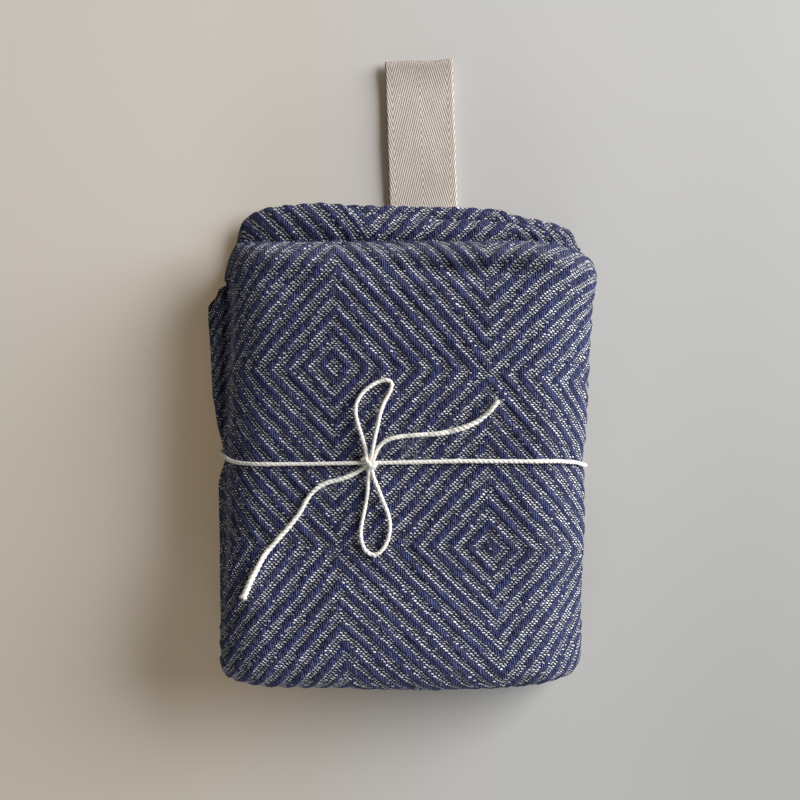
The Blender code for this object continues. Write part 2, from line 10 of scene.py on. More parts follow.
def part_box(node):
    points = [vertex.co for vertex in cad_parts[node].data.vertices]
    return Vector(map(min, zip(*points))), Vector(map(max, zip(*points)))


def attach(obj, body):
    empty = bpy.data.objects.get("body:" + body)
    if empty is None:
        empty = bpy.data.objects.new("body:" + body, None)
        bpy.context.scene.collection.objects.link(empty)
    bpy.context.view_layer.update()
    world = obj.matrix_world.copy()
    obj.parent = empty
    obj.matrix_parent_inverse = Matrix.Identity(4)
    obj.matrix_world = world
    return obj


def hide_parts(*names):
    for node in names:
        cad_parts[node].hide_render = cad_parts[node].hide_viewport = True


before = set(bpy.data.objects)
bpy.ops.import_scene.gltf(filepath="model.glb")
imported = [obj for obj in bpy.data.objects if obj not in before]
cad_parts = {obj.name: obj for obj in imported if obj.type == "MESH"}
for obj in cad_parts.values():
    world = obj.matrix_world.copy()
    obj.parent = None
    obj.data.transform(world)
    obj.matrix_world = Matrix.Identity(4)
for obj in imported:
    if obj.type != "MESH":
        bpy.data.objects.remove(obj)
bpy.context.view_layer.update()        # bodies, nodes, joints and record
bpy.ops.object.select_all(action="DESELECT")
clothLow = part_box("cloth")[0]
print("frame loaded")


# camera, lights and table

view = {
    "height": 0.50,             # lens above the table
    "centreY": -0.0112,
    "fieldWidth": 0.2944,       # width of table in view
    "clipStart": 0.01,
}
lamps = {
    # name: place, size, watts, colour
    "windowLamp": ((1.57, 0.72, 0.87), 1.50, 79.0, (0.99, 0.995, 1.0)),
    "skyLamp": ((0.02, -1.15, 0.27), 1.0, 7.0, (0.92, 0.96, 1.0)),
}
room = {
    "colour": (1.0, 0.92, 0.84),
    "strength": 0.10,
}


def newPiece(name, data):
    piece = bpy.data.objects.new(name, data)
    bpy.context.scene.collection.objects.link(piece)
    return piece


def addCamera():
    camData = bpy.data.cameras.new("overheadCamera")
    camData.angle = 2 * math.atan(view["fieldWidth"] / 2 / view["height"])
    camData.clip_start = view["clipStart"]
    cam = newPiece("overheadCamera", camData)
    cam.location = (0, view["centreY"], view["height"])
    bpy.context.scene.camera = cam


def addLamps():
    for name, (place, size, watts, colour) in lamps.items():
        lampData = bpy.data.lights.new(name, "AREA")
        lampData.size = size
        lampData.energy = watts
        lampData.color = colour
        lamp = newPiece(name, lampData)
        lamp.location = place
        lamp.rotation_euler = (-Vector(place)).to_track_quat("-Z", "Y").to_euler()
    world = bpy.data.worlds.new("roomLight")
    world.use_nodes = True
    feed(world.node_tree.nodes["Background"], {"Color": room["colour"], "Strength": room["strength"]})
    bpy.context.scene.world = world
    bpy.context.scene.view_settings.view_transform = "Standard"


# small helpers for node materials; each works in the tree of the sockets it is given

def feed(node, settings):
    # an input takes another node's output, a number or a colour
    for place, value in settings.items():
        if isinstance(value, bpy.types.NodeSocket):
            node.id_data.links.new(value, node.inputs[place])
        else:
            node.inputs[place].default_value = (*value, 1) if isinstance(value, tuple) else value


def newMaterial(name):
    mat = bpy.data.materials.new(name)
    mat.use_nodes = True
    return mat, mat.node_tree.nodes["Principled BSDF"]


def newNode(near, kind):
    return near.id_data.nodes.new("ShaderNode" + kind)


def calc(operation, *values):
    node = newNode(next(value for value in values if isinstance(value, bpy.types.NodeSocket)), "Math")
    node.operation = operation
    feed(node, dict(enumerate(values)))
    return node.outputs[0]


def times(first, second):
    return calc("MULTIPLY", first, second)


def plus(first, second):
    return calc("ADD", first, second)


def minus(first, second):
    return calc("SUBTRACT", first, second)


def over(first, second):
    return calc("DIVIDE", first, second)


def absolute(value):
    return calc("ABSOLUTE", value)


def fraction(value):
    return calc("FRACT", value)


def scaled(value, factor, added):
    return calc("MULTIPLY_ADD", value, factor, added)


def blendColours(share, first, second):
    node = newNode(share, "Mix")
    node.data_type = "RGBA"
    feed(node, {0: share, 6: first, 7: second})
    return node.outputs[2]


def spread(value, fromLow, fromHigh, toLow=0.0, toHigh=1.0, smooth=False):
    node = newNode(value, "MapRange")
    node.interpolation_type = "SMOOTHSTEP" if smooth else "LINEAR"
    feed(node, {"Value": value, "From Min": fromLow, "From Max": fromHigh, "To Min": toLow, "To Max": toHigh})
    return node.outputs["Result"]


def vectorOf(x, y):
    node = newNode(x, "CombineXYZ")
    feed(node, {0: x, 1: y})
    return node.outputs[0]


def partsOf(vector):
    node = newNode(vector, "SeparateXYZ")
    feed(node, {0: vector})
    return node.outputs[0], node.outputs[1]


def clothCoordinates(near, mapName):
    node = newNode(near, "UVMap")
    node.uv_map = mapName
    return partsOf(node.outputs[0])


def objectCoordinates(near):
    return newNode(near, "TexCoord").outputs["Object"]


def unevenness(vector, scale, detail=2.0, roughness=0.5):
    node = newNode(vector, "TexNoise")
    feed(node, {"Vector": vector, "Scale": scale, "Detail": detail, "Roughness": roughness})
    return node.outputs[0]


def chanceAt(x, y):
    node = newNode(x, "TexWhiteNoise")
    node.noise_dimensions = "2D"
    feed(node, {"Vector": vectorOf(x, y)})
    return node.outputs


def bumpFrom(height, distance, strength):
    node = newNode(height, "Bump")
    feed(node, {"Height": height, "Distance": distance, "Strength": strength})
    return node.outputs[0]


# small helpers for meshes

def ease(value):
    value = np.clip(value, 0.0, 1.0)
    return value * value * (3 - 2 * value)


def ramp(value, start, length):
    return ease((value - start) / length)


def hump(value, middle, width):
    return np.exp(-((value - middle) / width) ** 2)


def lengthsAlong(line):
    return np.concatenate([[0], np.cumsum(np.linalg.norm(np.diff(line, axis=0), axis=1))])


def noiseOver(first, second, scale, level):
    return np.array([noise.noise(Vector((p * scale, q * scale, level))) for p, q in zip(first, second)])


def flatGrid(name, columns, rows):
    bpy.ops.object.select_all(action="DESELECT")
    bpy.ops.mesh.primitive_grid_add(x_subdivisions=columns, y_subdivisions=rows, size=1)
    grid = bpy.context.active_object
    grid.name = grid.data.name = name
    return grid


def pointsOf(data):
    points = np.empty(len(data.vertices) * 3)
    data.vertices.foreach_get("co", points)
    return points.reshape(-1, 3)


def addMap(data, name):
    # the piece's own map, and no other
    data.uv_layers.new(name=name)
    for spare in [layer for layer in data.uv_layers if layer.name != name]:
        data.uv_layers.remove(spare)
    return data.uv_layers[name]


def thicken(sheet, thickness):
    body = sheet.modifiers.new("body", "SOLIDIFY")
    body.thickness = thickness
    body.offset = 0
    bpy.ops.object.modifier_apply(modifier="body")


def faceOutward(merge=0.0):
    # the active piece; points closer than merge become one
    bpy.ops.object.mode_set(mode="EDIT")
    bpy.ops.mesh.select_all(action="SELECT")
    if merge:
        bpy.ops.mesh.remove_doubles(threshold=merge)
    bpy.ops.mesh.normals_make_consistent(inside=False)
    bpy.ops.object.mode_set(mode="OBJECT")


def dress(piece, material, node=None):
    piece.data.materials.clear()
    piece.data.materials.append(material)
    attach(piece, "root")
    if node:
        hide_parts(node)


# the table

tableTop = {
    "size": 6,
    "z": -0.0001,
    "dark": (0.424, 0.418, 0.406),
    "pale": (0.594, 0.586, 0.569),
    "paler": (-0.16, 0.13, 0.0, 0.46),      # painted light: grows paler toward +Y between these Y, from and to these shares
    "mottle": 0.06,
    "lane": ((-0.06, 0.03), (0.14, 0.05), 0.34),        # painted light: a paler lane down the middle: both its sides, share
    "paintedGlow": (1.0, 0.66, 0.30),
    "paintedGlowX": (-0.08, 0.05),     # painted light: the table itself glows warm, standing in for lamplight from the room's far side, and fades out between these
    "paintedGlowStrength": 0.130,
}


def addTable():
    bpy.ops.mesh.primitive_plane_add(size=tableTop["size"], location=(0, 0, tableTop["z"]))
    table = bpy.context.active_object
    table.name = "table"
    mat, shader = newMaterial("paleTable")
    place = objectCoordinates(shader)
    x, y = partsOf(place)
    left, right, share = tableTop["lane"]
    lane = times(spread(x, *left, 0, 1, True), spread(x, *right, 0, share, True))
    mottle = spread(unevenness(place, 6, 3.0), 0.3, 0.7, 0.0, tableTop["mottle"])
    # painted light, with a real mottle: the table is paler toward +Y and along the lane
    toneAndPaintedLight = plus(plus(spread(y, *tableTop["paler"], True), mottle), lane)
    feed(shader, {"Base Color": blendColours(toneAndPaintedLight, tableTop["dark"], tableTop["pale"]),
                  "Emission Color": tableTop["paintedGlow"],
                  "Emission Strength": spread(x, *tableTop["paintedGlowX"], tableTop["paintedGlowStrength"], 0.0, True),
                  "Roughness": 0.5})
    table.data.materials.append(mat)


# the towel: one sheet, its width folded twice into a strip of four plies, the strip folded twice along

towel = {
    "flat": (0.50, 0.65),
    "thickness": 0.0016,
    "plyPitch": 0.0024,
    "halfWidth": 0.0642,        # to its -X side
    "rightX": 0.0649,
    "rearFoldY": 0.0439,
    "upperHemY": 0.0560,
    "lowerHemY": 0.0600,
    "sewnHemY": 0.0500,
    "evenLengthY": 0.0250,      # the plies only differ in length past here
    "hemSteps": (0.45, 0.55),   # lower and upper hem: each ply ends short, by this share of its depth
    "foldInset": 0.0018,
    "selvedgeInset": 0.0015,
    "innerInset": 0.0012,       # of the inner selvedge, from the outer
    # place past the fold, width and depth of the groove beside the plies that stand out at -X
    "groove": (0.0018, 0.0012, 0.0048),
    "rim": (0.0009, 0.0007),    # width and height of the raised edge above it
    "hemPress": (0.0110, 0.22),         # the hems are pressed thin: length, share
    "hemRoll": (0.0048, 0.0026, 2.4),   # and their uppermost ply rolls down: length, depth, bend
    # a layer dips where it slips in under the one above: place, width, depth
    "underHem": (0.0004, 0.0017, 0.0013),
    "underFold": (0.0006, 0.0024, 0.0020),
    "thinning": 0.52,           # share of the height lost at the rear, toward -X
    "rearBulge": 0.0030,
    "frontSquareness": 5.0,     # 2 would be a plain half round
}
shape = {  # the whole bundle, softened
    "press": 0.925,             # share of the height left away from the crown
    "crown": 0.15,
    "crownFlatness": 10,        # how squarely the crown ends toward the front and the rear
    "waist": (0.38, 0.030),     # share of the crown the twine takes away, and over what length
    "rollWidths": (0.018, 0.020),       # the -X and +X sides round off over these widths
    "rollDrop": 0.25,
    "bandY": -0.0327,
    "bandDent": (0.0011, 0.006),        # depth, width
    "tunnel": (0.0015, 0.0065, 0.006, 0.0025),  # room under the bundle: shift, half width, ramp, height
    "frontMiddleX": 0.0007,
    "frontSlant": 0.0015,
    "frontRoundFade": 0.042,
    "lean": (0.036, 0.120),     # the top slopes up to +X, and down to +X at the front fold
    "rearSkew": 0.0031,
    "rearCorner": 0.0014,
    "barrel": 0.012,            # share of the width lost at the lowest and highest plies
    "pinch": (0.0012, 0.0040, 0.0008),  # how the twine draws the sides in: place, width, depth
    "sway": 0.0007,
}
# half width of the front edge at -X and +X, how far its corner falls back, how square it is
frontCorners = ((0.0643, 0.0098, 5), (0.0652, 0.0100, 4))
# the top strip's rear corners fall back: side, how far, bend, from X, over X, from Y, over Y
rearCorners = ((1, 0.0063, 2.2, 0.040, 0.0245, 0.012, 0.030), (-1, 0.0075, 2.4, 0.0590, 0.0060, 0.029, 0.013))
stripPitch = 4 * towel["plyPitch"]
outerPly = 1.5 * towel["plyPitch"]
innerPly = 0.5 * towel["plyPitch"]
skin = towel["thickness"] / 2
stackHeight = 4 * stripPitch - (towel["plyPitch"] - towel["thickness"])
lowestRunZ = outerPly + skin
wrapRadius = 1.5 * stripPitch
foldRadius = 0.5 * stripPitch
wrapCentreY = clothLow.y + wrapRadius + outerPly + skin
rearCentreY = towel["rearFoldY"] - foldRadius - outerPly - skin
sideFoldX = towel["rightX"] - outerPly - skin
leftFoldX = -(towel["halfWidth"] - innerPly - skin) + towel["foldInset"]
selvedgeX = -(towel["halfWidth"] - towel["selvedgeInset"])

# stations across the towel: segment, from share, to share, steps
# segments: bottom ply, outer side fold, face ply, left fold, second ply, inner side fold, third ply
acrossRows = [(0, 0.0, 0.12, 6), (0, 0.12, 1.0, 32), (1, 0, 1, 8), (2, 0, 0.96, 72), (2, 0.96, 1, 7),
              (3, 0, 1, 4), (4, 0, 1, 7), (5, 0, 1, 3), (6, 0, 0.88, 4), (6, 0.88, 1.0, 9)]
# stations along the towel
# segments: lower run, outer wrap, top run, rear fold, inner run, inner wrap, upper run
alongRows = [(0, 0.0, 0.12, 12), (0, 0.12, 1.0, 20), (1, 0, 1, 28), (2, 0, 1, 81), (3, 0, 1, 16),
             (4, 0, 1, 8), (5, 0, 1, 4), (6, 0.0, 0.80, 8), (6, 0.80, 1.0, 19)]
segments = 7
flatWidth, flatLength = 0.49, 0.64      # the grid before it is folded
runLevel = {0: 0, 6: 1, 4: 2, 2: 3}

# the top run's -X side, in mm: Y, how far its fold is drawn in, how far the two lower plies stand out
leftSide = np.array([
    (-90, 0.4, 0), (-70, 0.8, 1), (-52, 1, 1.8), (-40, 1, 1.9), (-34.5, 0.9, 0.8), (-31, 0.7, 0.6),
    (-25, 0.6, 1.6), (-22, 0.6, 2.5), (-18, 0.7, 3.7), (-13.6, 0.8, 4.6), (-9.5, 0.6, 5.8), (-0.9, 0.4, 6.8),
    (9.5, 0.3, 7.9), (17, 0, 8.9), (22.8, -0.3, 9.1), (24, -0.3, 7.8), (26.2, -0.4, 5.6), (27.9, -0.5, 5.8),
    (29, -0.6, 4.5), (30, -0.8, 2), (31, -1.2, 0), (33, -2.6, 0), (35, -3, 0)]) / 1000
# the two hems at the rear, seen from above: X and Y of their outlines, in mm
upperHem = np.array([
    (-65.5, 30), (-63.5, 36), (-61, 42), (-59.5, 48.5), (-57.8, 54.5), (-50.8, 58), (-41.8, 59.2),
    (-28.4, 59.8), (-19.8, 58.8), (-17.2, 57.6), (-12.6, 55.6), (4.4, 55.2), (15.4, 53.5), (36.7, 52.7),
    (49.1, 51.2), (60.2, 49.8), (63.2, 46.8), (65.5, 42.5)]) / 1000
lowerHem = np.array([
    (-65.5, 30), (-63, 35), (-60, 43), (-58, 51), (-55, 54.8), (-48, 57), (-40, 57.7), (-30, 59),
    (-15.2, 60), (-9.1, 59.8), (22.5, 59), (36.2, 58.4), (42.4, 56.3), (54.3, 53.8), (60.5, 52.2),
    (64.5, 48.8), (66.8, 43.5)]) / 1000


def stationsOf(rows):
    stations = [rows[0][0] + rows[0][1]]
    for segment, start, end, steps in rows:
        stations += [segment + start + (end - start) * step / steps for step in range(1, steps + 1)]
    return np.array(stations)


def alongPath(k):
    # segment and its own coordinate, and Y on the runs
    segment = np.minimum(k.astype(int), segments - 1)
    share = k - segment
    starts = np.array([towel["lowerHemY"], 0, wrapCentreY, 0, rearCentreY, 0, wrapCentreY])
    ends = np.array([wrapCentreY, 0, rearCentreY, 0, wrapCentreY, 0, towel["upperHemY"]])
    y = starts[segment] + (ends - starts)[segment] * share
    return segment, share, y


def edgesAt(segment, y):
    # X of the -X fold and of the selvedges; on the folds of the strip, as at the rear
    y = np.where(segment % 2 == 1, rearCentreY, y)
    tucked, reach = (np.interp(y, leftSide[:, 0], leftSide[:, column]) for column in (1, 2))
    shift = np.where(segment == 2, tucked, 0.0)
    bulge = towel["rearBulge"] * np.where(segment == 4, ramp(y, 0.015, 0.012), 1.0)
    shift = np.where((segment == 3) | (segment == 4), -bulge, shift)
    return leftFoldX + shift, selvedgeX - np.where(segment == 2, reach, 0.0)


def acrossStrip(c, leftX, edgeX):
    # X and W at one place of the strip's section, and the way its face looks there
    segment = np.minimum(c.astype(int), segments - 1)
    share = c - segment
    plyRadius = towel["plyPitch"] / 2
    rising = np.pi * (share - 0.5)
    falling = np.pi * (0.5 - share)
    middle = (outerPly + innerPly) / 2
    zero = np.zeros_like(c)
    one = zero + 1
    xChoices = [edgeX + (sideFoldX - edgeX) * share,
                sideFoldX + outerPly * np.cos(rising),
                sideFoldX + (leftX - sideFoldX) * share,
                leftX - plyRadius * np.cos(falling),
                leftX + (sideFoldX - leftX) * share,
                sideFoldX + innerPly * np.cos(falling),
                sideFoldX + (edgeX + towel["innerInset"] - sideFoldX) * share]
    wChoices = [-outerPly * one, outerPly * np.sin(rising), outerPly * one,
                middle + plyRadius * np.sin(falling), innerPly * one,
                innerPly * np.sin(falling), -innerPly * one]
    faceX = [zero, np.cos(rising), zero, -np.cos(falling), zero, -np.cos(falling), zero]
    faceW = [-one, np.sin(rising), one, np.sin(falling), -one, -np.sin(falling), one]
    at = [segment == number for number in range(segments)]
    return [np.select(at, choices) for choices in (xChoices, wChoices, faceX, faceW)]


def hemLine(outline, x):
    fine = np.linspace(-0.066, 0.067, 134)
    line = np.interp(fine, outline[:, 0], outline[:, 1])
    rounded = np.convolve(np.pad(line, 2, mode="edge"), (0.1, 0.2, 0.4, 0.2, 0.1), mode="valid")
    return np.interp(x, fine, rounded)


def hemPlace(lower, x, w):
    lowerStep, upperStep = towel["hemSteps"]
    long = hemLine(lowerHem, x) - lowerStep * (w + outerPly)
    sewn = w > innerPly + towel["plyPitch"] / 4
    long = np.where(sewn, np.minimum(towel["sewnHemY"], long), long)
    short = hemLine(upperHem, x) - upperStep * (outerPly - w)
    return np.where(lower, long, short)


def frontSwell(turn):
    # the front fold is boxier than a half round
    power = towel["frontSquareness"]
    return (np.abs(np.sin(turn)) ** power + np.abs(np.cos(turn)) ** power) ** (-1 / power)


turnSteps = np.linspace(0, np.pi, 400)
frontRound = np.column_stack([np.sin(turnSteps), np.cos(turnSteps)])
frontArc = lengthsAlong(frontRound * frontSwell(turnSteps)[:, None])


def foldCloth(c, k, lift):
    # where a point of the flat sheet lies in the folded bundle; lift is its height over the sheet's middle
    segment, share, y = alongPath(k)
    leftX, edgeX = edgesAt(segment, y)
    x, w, faceX, faceW = acrossStrip(c, leftX, edgeX)
    lower, upper, top = segment == 0, segment == 6, segment == 2
    even = towel["evenLengthY"]
    past = np.clip(y - even, 0, None)
    hemY = np.where(lower, towel["lowerHemY"], towel["upperHemY"])
    stretched = even + past * (hemPlace(lower, x, w) - even) / (hemY - even)
    y = np.where((past > 0) & (lower | upper), stretched, y)
    x = x + faceX * lift
    w = w + faceW * lift
    facing = np.where(lower | (segment == 4), -1.0, 1.0)
    level = np.select([segment == s for s in runLevel], list(runLevel.values()), 0)
    z = lowestRunZ + level * stripPitch + facing * w
    # the plies that stand out at -X hang lower, and the top ply's fold has a raised rim
    place, width, depth = towel["groove"]
    z = np.where(top & (w < innerPly), z - depth * hump(leftX - innerPly - skin - x, place, width), z)
    width, height = towel["rim"]
    rim = hump(x - leftX, -innerPly, width) * ramp(-y, -0.031, 0.006) * ramp(y, -0.085, 0.02)
    z = np.where(top & (w > innerPly), z + height * rim, z)
    z, y = turnFolds(segment, share, w, z, y)
    # the hems are pressed thin and their uppermost ply rolls down at its edge
    pressed, thinner = towel["hemPress"]
    length, depth, bend = towel["hemRoll"]
    for atHem, base, outline, topPly in ((lower, 0.0, lowerHem, -1), (upper, stripPitch, upperHem, 1)):
        edge = hemLine(outline, x)
        toEdge = ramp(y, edge - pressed, pressed)
        z = np.where(atHem, base + (z - base) * (1 - thinner * toEdge ** 2), z)
        roll = np.clip((y - (edge - length)) / length, 0, 1.2)
        z = np.where(atHem & (w * topPly > innerPly * 1.5), z - depth * roll ** bend, z)
    for layer, edge, key in ((lower & (w < -innerPly), hemLine(upperHem, x), "underHem"),
                             (upper & (w > innerPly), towel["rearFoldY"], "underFold")):
        place, width, depth = towel[key]
        z = np.where(layer, z - depth * hump(y - edge, place, width), z)
    # the rear end thins out toward -X
    thinned = np.clip((-x - 0.010) / 0.048, 0, 1.1) ** 1.6 * ramp(y, 0.030, 0.012)
    z = np.where(lower | upper, z * (1 - towel["thinning"] * thinned), z)
    return x, y, z, np.isin(segment, (2, 3, 4))


def turnFolds(segment, share, w, z, y):
    # the strip's own folds: the outer wrap, the rear fold and the inner wrap
    middleZ = lowestRunZ + 1.5 * stripPitch
    turn = np.pi * share
    wrap = (wrapRadius + w) * frontSwell(turn)
    fold = foldRadius + w
    inner = (foldRadius - w) * frontSwell(turn)
    turning = [segment == 1, segment == 3, segment == 5]
    y = np.select(turning, [wrapCentreY - wrap * np.sin(turn), rearCentreY + fold * np.sin(turn),
                            wrapCentreY - inner * np.sin(turn)], y)
    z = np.select(turning, [middleZ - wrap * np.cos(turn), middleZ + stripPitch + fold * np.cos(turn),
                            middleZ + inner * np.cos(turn)], z)
    return z, y


def soften(x, y, z, upper):
    level = z / stackHeight
    half, frontY, rearY = towel["halfWidth"], clothLow.y, towel["rearFoldY"]
    fromBand = y - shape["bandY"]
    rollWidth = np.where(x < 0, *shape["rollWidths"])
    side = np.clip((np.abs(x) - half + rollWidth) / rollWidth, 0, 1.3)
    inward = np.clip(1 - (x / half) ** 2, 0, None)
    along = (y - (rearY + frontY) / 2) / ((rearY - frontY) / 2)
    share, length = shape["waist"]
    waist = 1 - share * hump(fromBand, 0, length)
    crown = shape["crown"] * inward * np.clip(1 - along ** shape["crownFlatness"], 0, None) * waist
    depth, width = shape["bandDent"]
    z = z * (shape["press"] + crown - shape["rollDrop"] * side ** 2)
    z = z - depth * hump(fromBand, 0, width) * level
    shift, halfWidth, slope, height = shape["tunnel"]
    z = z + height * (1 - ramp(np.abs(fromBand + shift), halfWidth, slope)) * (1 - level)
    fallBack = shape["frontSlant"] * ramp(-x, -0.010, 0.040)
    for here, (reach, far, square) in zip((x < 0, x >= 0), frontCorners):
        corner = np.minimum(1, np.abs(x - shape["frontMiddleX"]) / reach)
        fallBack = fallBack + np.where(here, far * (1 - np.cbrt(1 - corner ** square)), 0.0)
    y = y + fallBack * (1 - ramp(y, frontY, shape["frontRoundFade"]))
    falls = sum(far * np.clip((side * x - fromX) / overX, 0, 1.1) ** bend * ramp(y, fromY, overY)
                for side, far, bend, fromX, overX, fromY, overY in rearCorners)
    y = y - np.where(upper, falls, 0.0)
    topLean, frontLean = shape["lean"]
    z = z + (topLean * ramp(y, -0.080, 0.020) - frontLean * ramp(-y, 0.052, 0.030)) * x * level
    high = ramp(level, 0.30, 0.35)
    skew = shape["rearSkew"] * ramp(y, -0.045, 0.085) * high
    barrel = 1 - shape["barrel"] * (2 * level - 1) ** 2
    place, width, depth = shape["pinch"]
    pinch = hump(y - shape["bandY"], place, width) * ramp(np.abs(x), 0.050, 0.012)
    x = x * barrel - np.sign(x) * depth * pinch
    rearCorner = shape["rearCorner"] * ramp(y, 0.018, 0.014) * ramp(x, 0.045, 0.015) * high
    return x + skew + rearCorner, y, z


# soft hollows and ridges pressed into the upper strip: x, y, length, width, turn in degrees, depth
creases = [
    (0.0170, 0.0336, 0.0300, 0.0042, -2, 0.0046),
    (-0.0040, 0.0290, 0.0500, 0.0100, 0, 0.0012),
    (-0.0420, 0.0300, 0.0180, 0.0046, -6, 0.0010),
    (0.0410, 0.0345, 0.0140, 0.0045, 10, 0.0036),
    (-0.0020, 0.0345, 0.0130, 0.0035, 4, 0.0009),
    (0.0200, 0.0300, 0.0160, 0.0060, -14, 0.0006),
    (-0.0420, 0.0320, 0.0110, 0.0040, -20, 0.0008),
    (0.0560, 0.0200, 0.0120, 0.0040, 62, 0.0007),
    (-0.0080, -0.0327, 0.0160, 0.0050, 0, 0.0006),
    (-0.0500, -0.0050, 0.0200, 0.0060, 80, 0.0005),
    (0.0480, -0.0600, 0.0260, 0.0090, 75, -0.0005),
    (-0.0300, -0.0850, 0.0240, 0.0090, 20, -0.0004),
    (0.0100, -0.0100, 0.0300, 0.0120, 40, -0.0005),
]


def creaseDepth(x, y):
    depth = np.zeros_like(x)
    for atX, atY, length, width, turn, deep in creases:
        c, s = math.cos(math.radians(turn)), math.sin(math.radians(turn))
        dx, dy = x - atX, y - atY
        depth += deep * np.exp(-((dx * c + dy * s) / length) ** 2 - ((dy * c - dx * s) / width) ** 2)
    return depth


# the woven pattern, in metres of cloth: diamonds mirrored across and along
weave = {
    "mapName": "clothMetres",
    "wearAndHighlightName": "wornAndHighlit",
    "mirrorX": -0.0225,         # a mirror line of the pattern, on the top panel
    "mirrorY": 0.0000,
    "halfAcross": 0.0530,
    "halfAlong": 0.0603,
    "stripesAcross": 8.48,      # stripes in a half repeat
    "stripesAlong": 8.51,
    "start": 0.055,
    "paleShare": 0.57,
    "endPitch": 0.000755,       # one warp end
    "pickPitch": 0.00077,       # one weft pick
    "relief": 0.00042,
    "sidePull": (0.016, 0.0045),        # the cloth rolls away at the sides: width, spare length
    "innerShift": 0.0128,       # the inner strip was folded over a little aslant
    "hemShift": 0.0424,         # the lowest hem doesn't line up with the one above
    "flapShift": 0.0300,        # the plies that stand out at the side sit a little higher up
    "reach": ((-0.065, 0.068), (-0.120, 0.030)),    # X and Y past which the next three stay as they are
    "drift": (0.030, 0.075, 0.0052),    # toward the front the stripes drift aside: from -Y, over, how far
    "bowMiddle": (0.022, 0.087),        # the picks bow: the middle's -X, and reach
    "bow": ((-0.061, 0.0), (0.0032, 0.0060)),       # how far, at these Y
    "swellings": (90, 0.8, 420, 0.35),  # uneven relief, coarse and small: scale and share of each
    "hemRagged": (0.0002, 0.0003),      # by the stripes, and by chance
}
wearAndHighlightLook = {  # where handling has worn the cloth pale, and a painted highlight where its folds catch the light
    "foldLine": (0.0006, 0.0005),       # place past the -X fold, width
    "foldEnd": (-0.033, 0.006),         # -Y where it starts, and over what length
    "crest": (3.20, 0.13, 0.22),        # place on the rear fold, width, share
    "patchy": (0.75, 0.9),
}


def patternPlace(c, k):
    # cloth coordinates in metres, equal to X and Y on the top panel
    segment, share, y = alongPath(k)
    leftX, edgeX = edgesAt(segment, y)
    lengths = np.array([sideFoldX - edgeX, np.pi * outerPly + 0 * edgeX, sideFoldX - leftX,
                        np.pi * towel["plyPitch"] / 2 + 0 * edgeX, sideFoldX - leftX,
                        np.pi * innerPly + 0 * edgeX, sideFoldX - edgeX])
    part = np.minimum(c.astype(int), segments - 1)
    sums = np.vstack([0 * edgeX, np.cumsum(lengths, axis=0)])
    place = np.take_along_axis(sums, part[None], 0)[0]
    place += (c - part) * np.take_along_axis(lengths, part[None], 0)[0]
    u = sideFoldX - (place - sums[2])
    x = acrossStrip(c, leftX, edgeX)[0]
    width, spare = weave["sidePull"]
    toRight = np.clip(1 - (towel["rightX"] - x) / width, 0, 1) ** 2.5
    toLeft = np.clip(1 - (x - leftX + innerPly) / width, 0, 1) ** 2.5
    u = u + spare * (np.where(c < 1.5, 1.0, toRight) - np.where(c > 3, 1.0, toLeft))
    u = u - np.where(c > 6, 0.7 * np.clip(-0.055 - x, 0, None), 0.0)
    run = rearCentreY - wrapCentreY
    arcs = np.array([towel["lowerHemY"] - wrapCentreY, frontArc[-1] * (wrapRadius + outerPly),
                     run, np.pi * (foldRadius + outerPly), run, np.pi * foldRadius,
                     towel["upperHemY"] - wrapCentreY])
    before = np.concatenate([[0], np.cumsum(arcs)])
    travelled = np.where(segment == 1, np.interp(share * np.pi, turnSteps, frontArc / frontArc[-1]), share)
    v = wrapCentreY + before[segment] + travelled * arcs[segment] - before[2]
    inX, inY = (np.clip(value, *ends) for value, ends in zip((u, v), weave["reach"]))
    skew = shape["rearSkew"] * ramp(inY, -0.045, 0.085)
    start, length, far = weave["drift"]
    drift = far * (np.clip(-start - inY, 0, None) / length) ** 2
    middle, half = weave["bowMiddle"]
    bow = -((inX + middle) / half) ** 2 * np.interp(inY, *weave["bow"])
    u = u + skew - drift - weave["innerShift"] * ramp(k, 4.2, 1.6) + weave["hemShift"] * ramp(-k, -1, 0.9)
    return u, v - bow - weave["flapShift"] * ramp(c, 5.2, 0.6)


def stripePhase(u, v):
    phase = weave["start"]
    for value, mirror, half, stripes in ((u, "mirrorX", "halfAcross", "stripesAcross"),
                                         (v, "mirrorY", "halfAlong", "stripesAlong")):
        repeat = weave[half]
        folded = repeat - np.abs(np.mod(value - weave[mirror], 2 * repeat) - repeat)
        phase = phase + folded / repeat * weave[stripes]
    return phase


def layFlatSheet(name):
    # the cloth as cut: a closed slab, wider spaced where it will be hidden
    across, along = stationsOf(acrossRows), stationsOf(alongRows)
    columns, rows = len(across) - 1, len(along) - 1
    sheet = flatGrid(name, columns, rows)
    flat = pointsOf(sheet.data)
    flat[:, 0] = across[np.rint((flat[:, 0] + 0.5) * columns).astype(int)] / segments * flatWidth
    flat[:, 1] = along[np.rint((flat[:, 1] + 0.5) * rows).astype(int)] / segments * flatLength
    sheet.data.vertices.foreach_set("co", flat.ravel())
    thicken(sheet, towel["thickness"])
    return sheet


def refineShownFaces(sheet):
    # more vertices where the stripes will show
    shown = [  # across from, to, along from, to
        (0.95, 4.0, 1.05, 4.0), (1.9, 3.1, 6.80, 7.0), (6.88, 7.0, 2.3, 3.0), (0.0, 1.0, 0.0, 0.12)]
    bpy.ops.object.mode_set(mode="EDIT")
    bpy.ops.mesh.select_mode(type="FACE")
    bpy.ops.mesh.select_all(action="DESELECT")
    mesh = bmesh.from_edit_mesh(sheet.data)
    for face in mesh.faces:
        middle = face.calc_center_median()
        c, k = middle.x / flatWidth * segments, middle.y / flatLength * segments
        if middle.z > 0.9 * skin:
            face.select = any(low < c < high and start < k < end for low, high, start, end in shown)
    bmesh.update_edit_mesh(sheet.data)
    bpy.ops.mesh.subdivide(number_cuts=1, smoothness=0)
    bpy.ops.object.mode_set(mode="OBJECT")


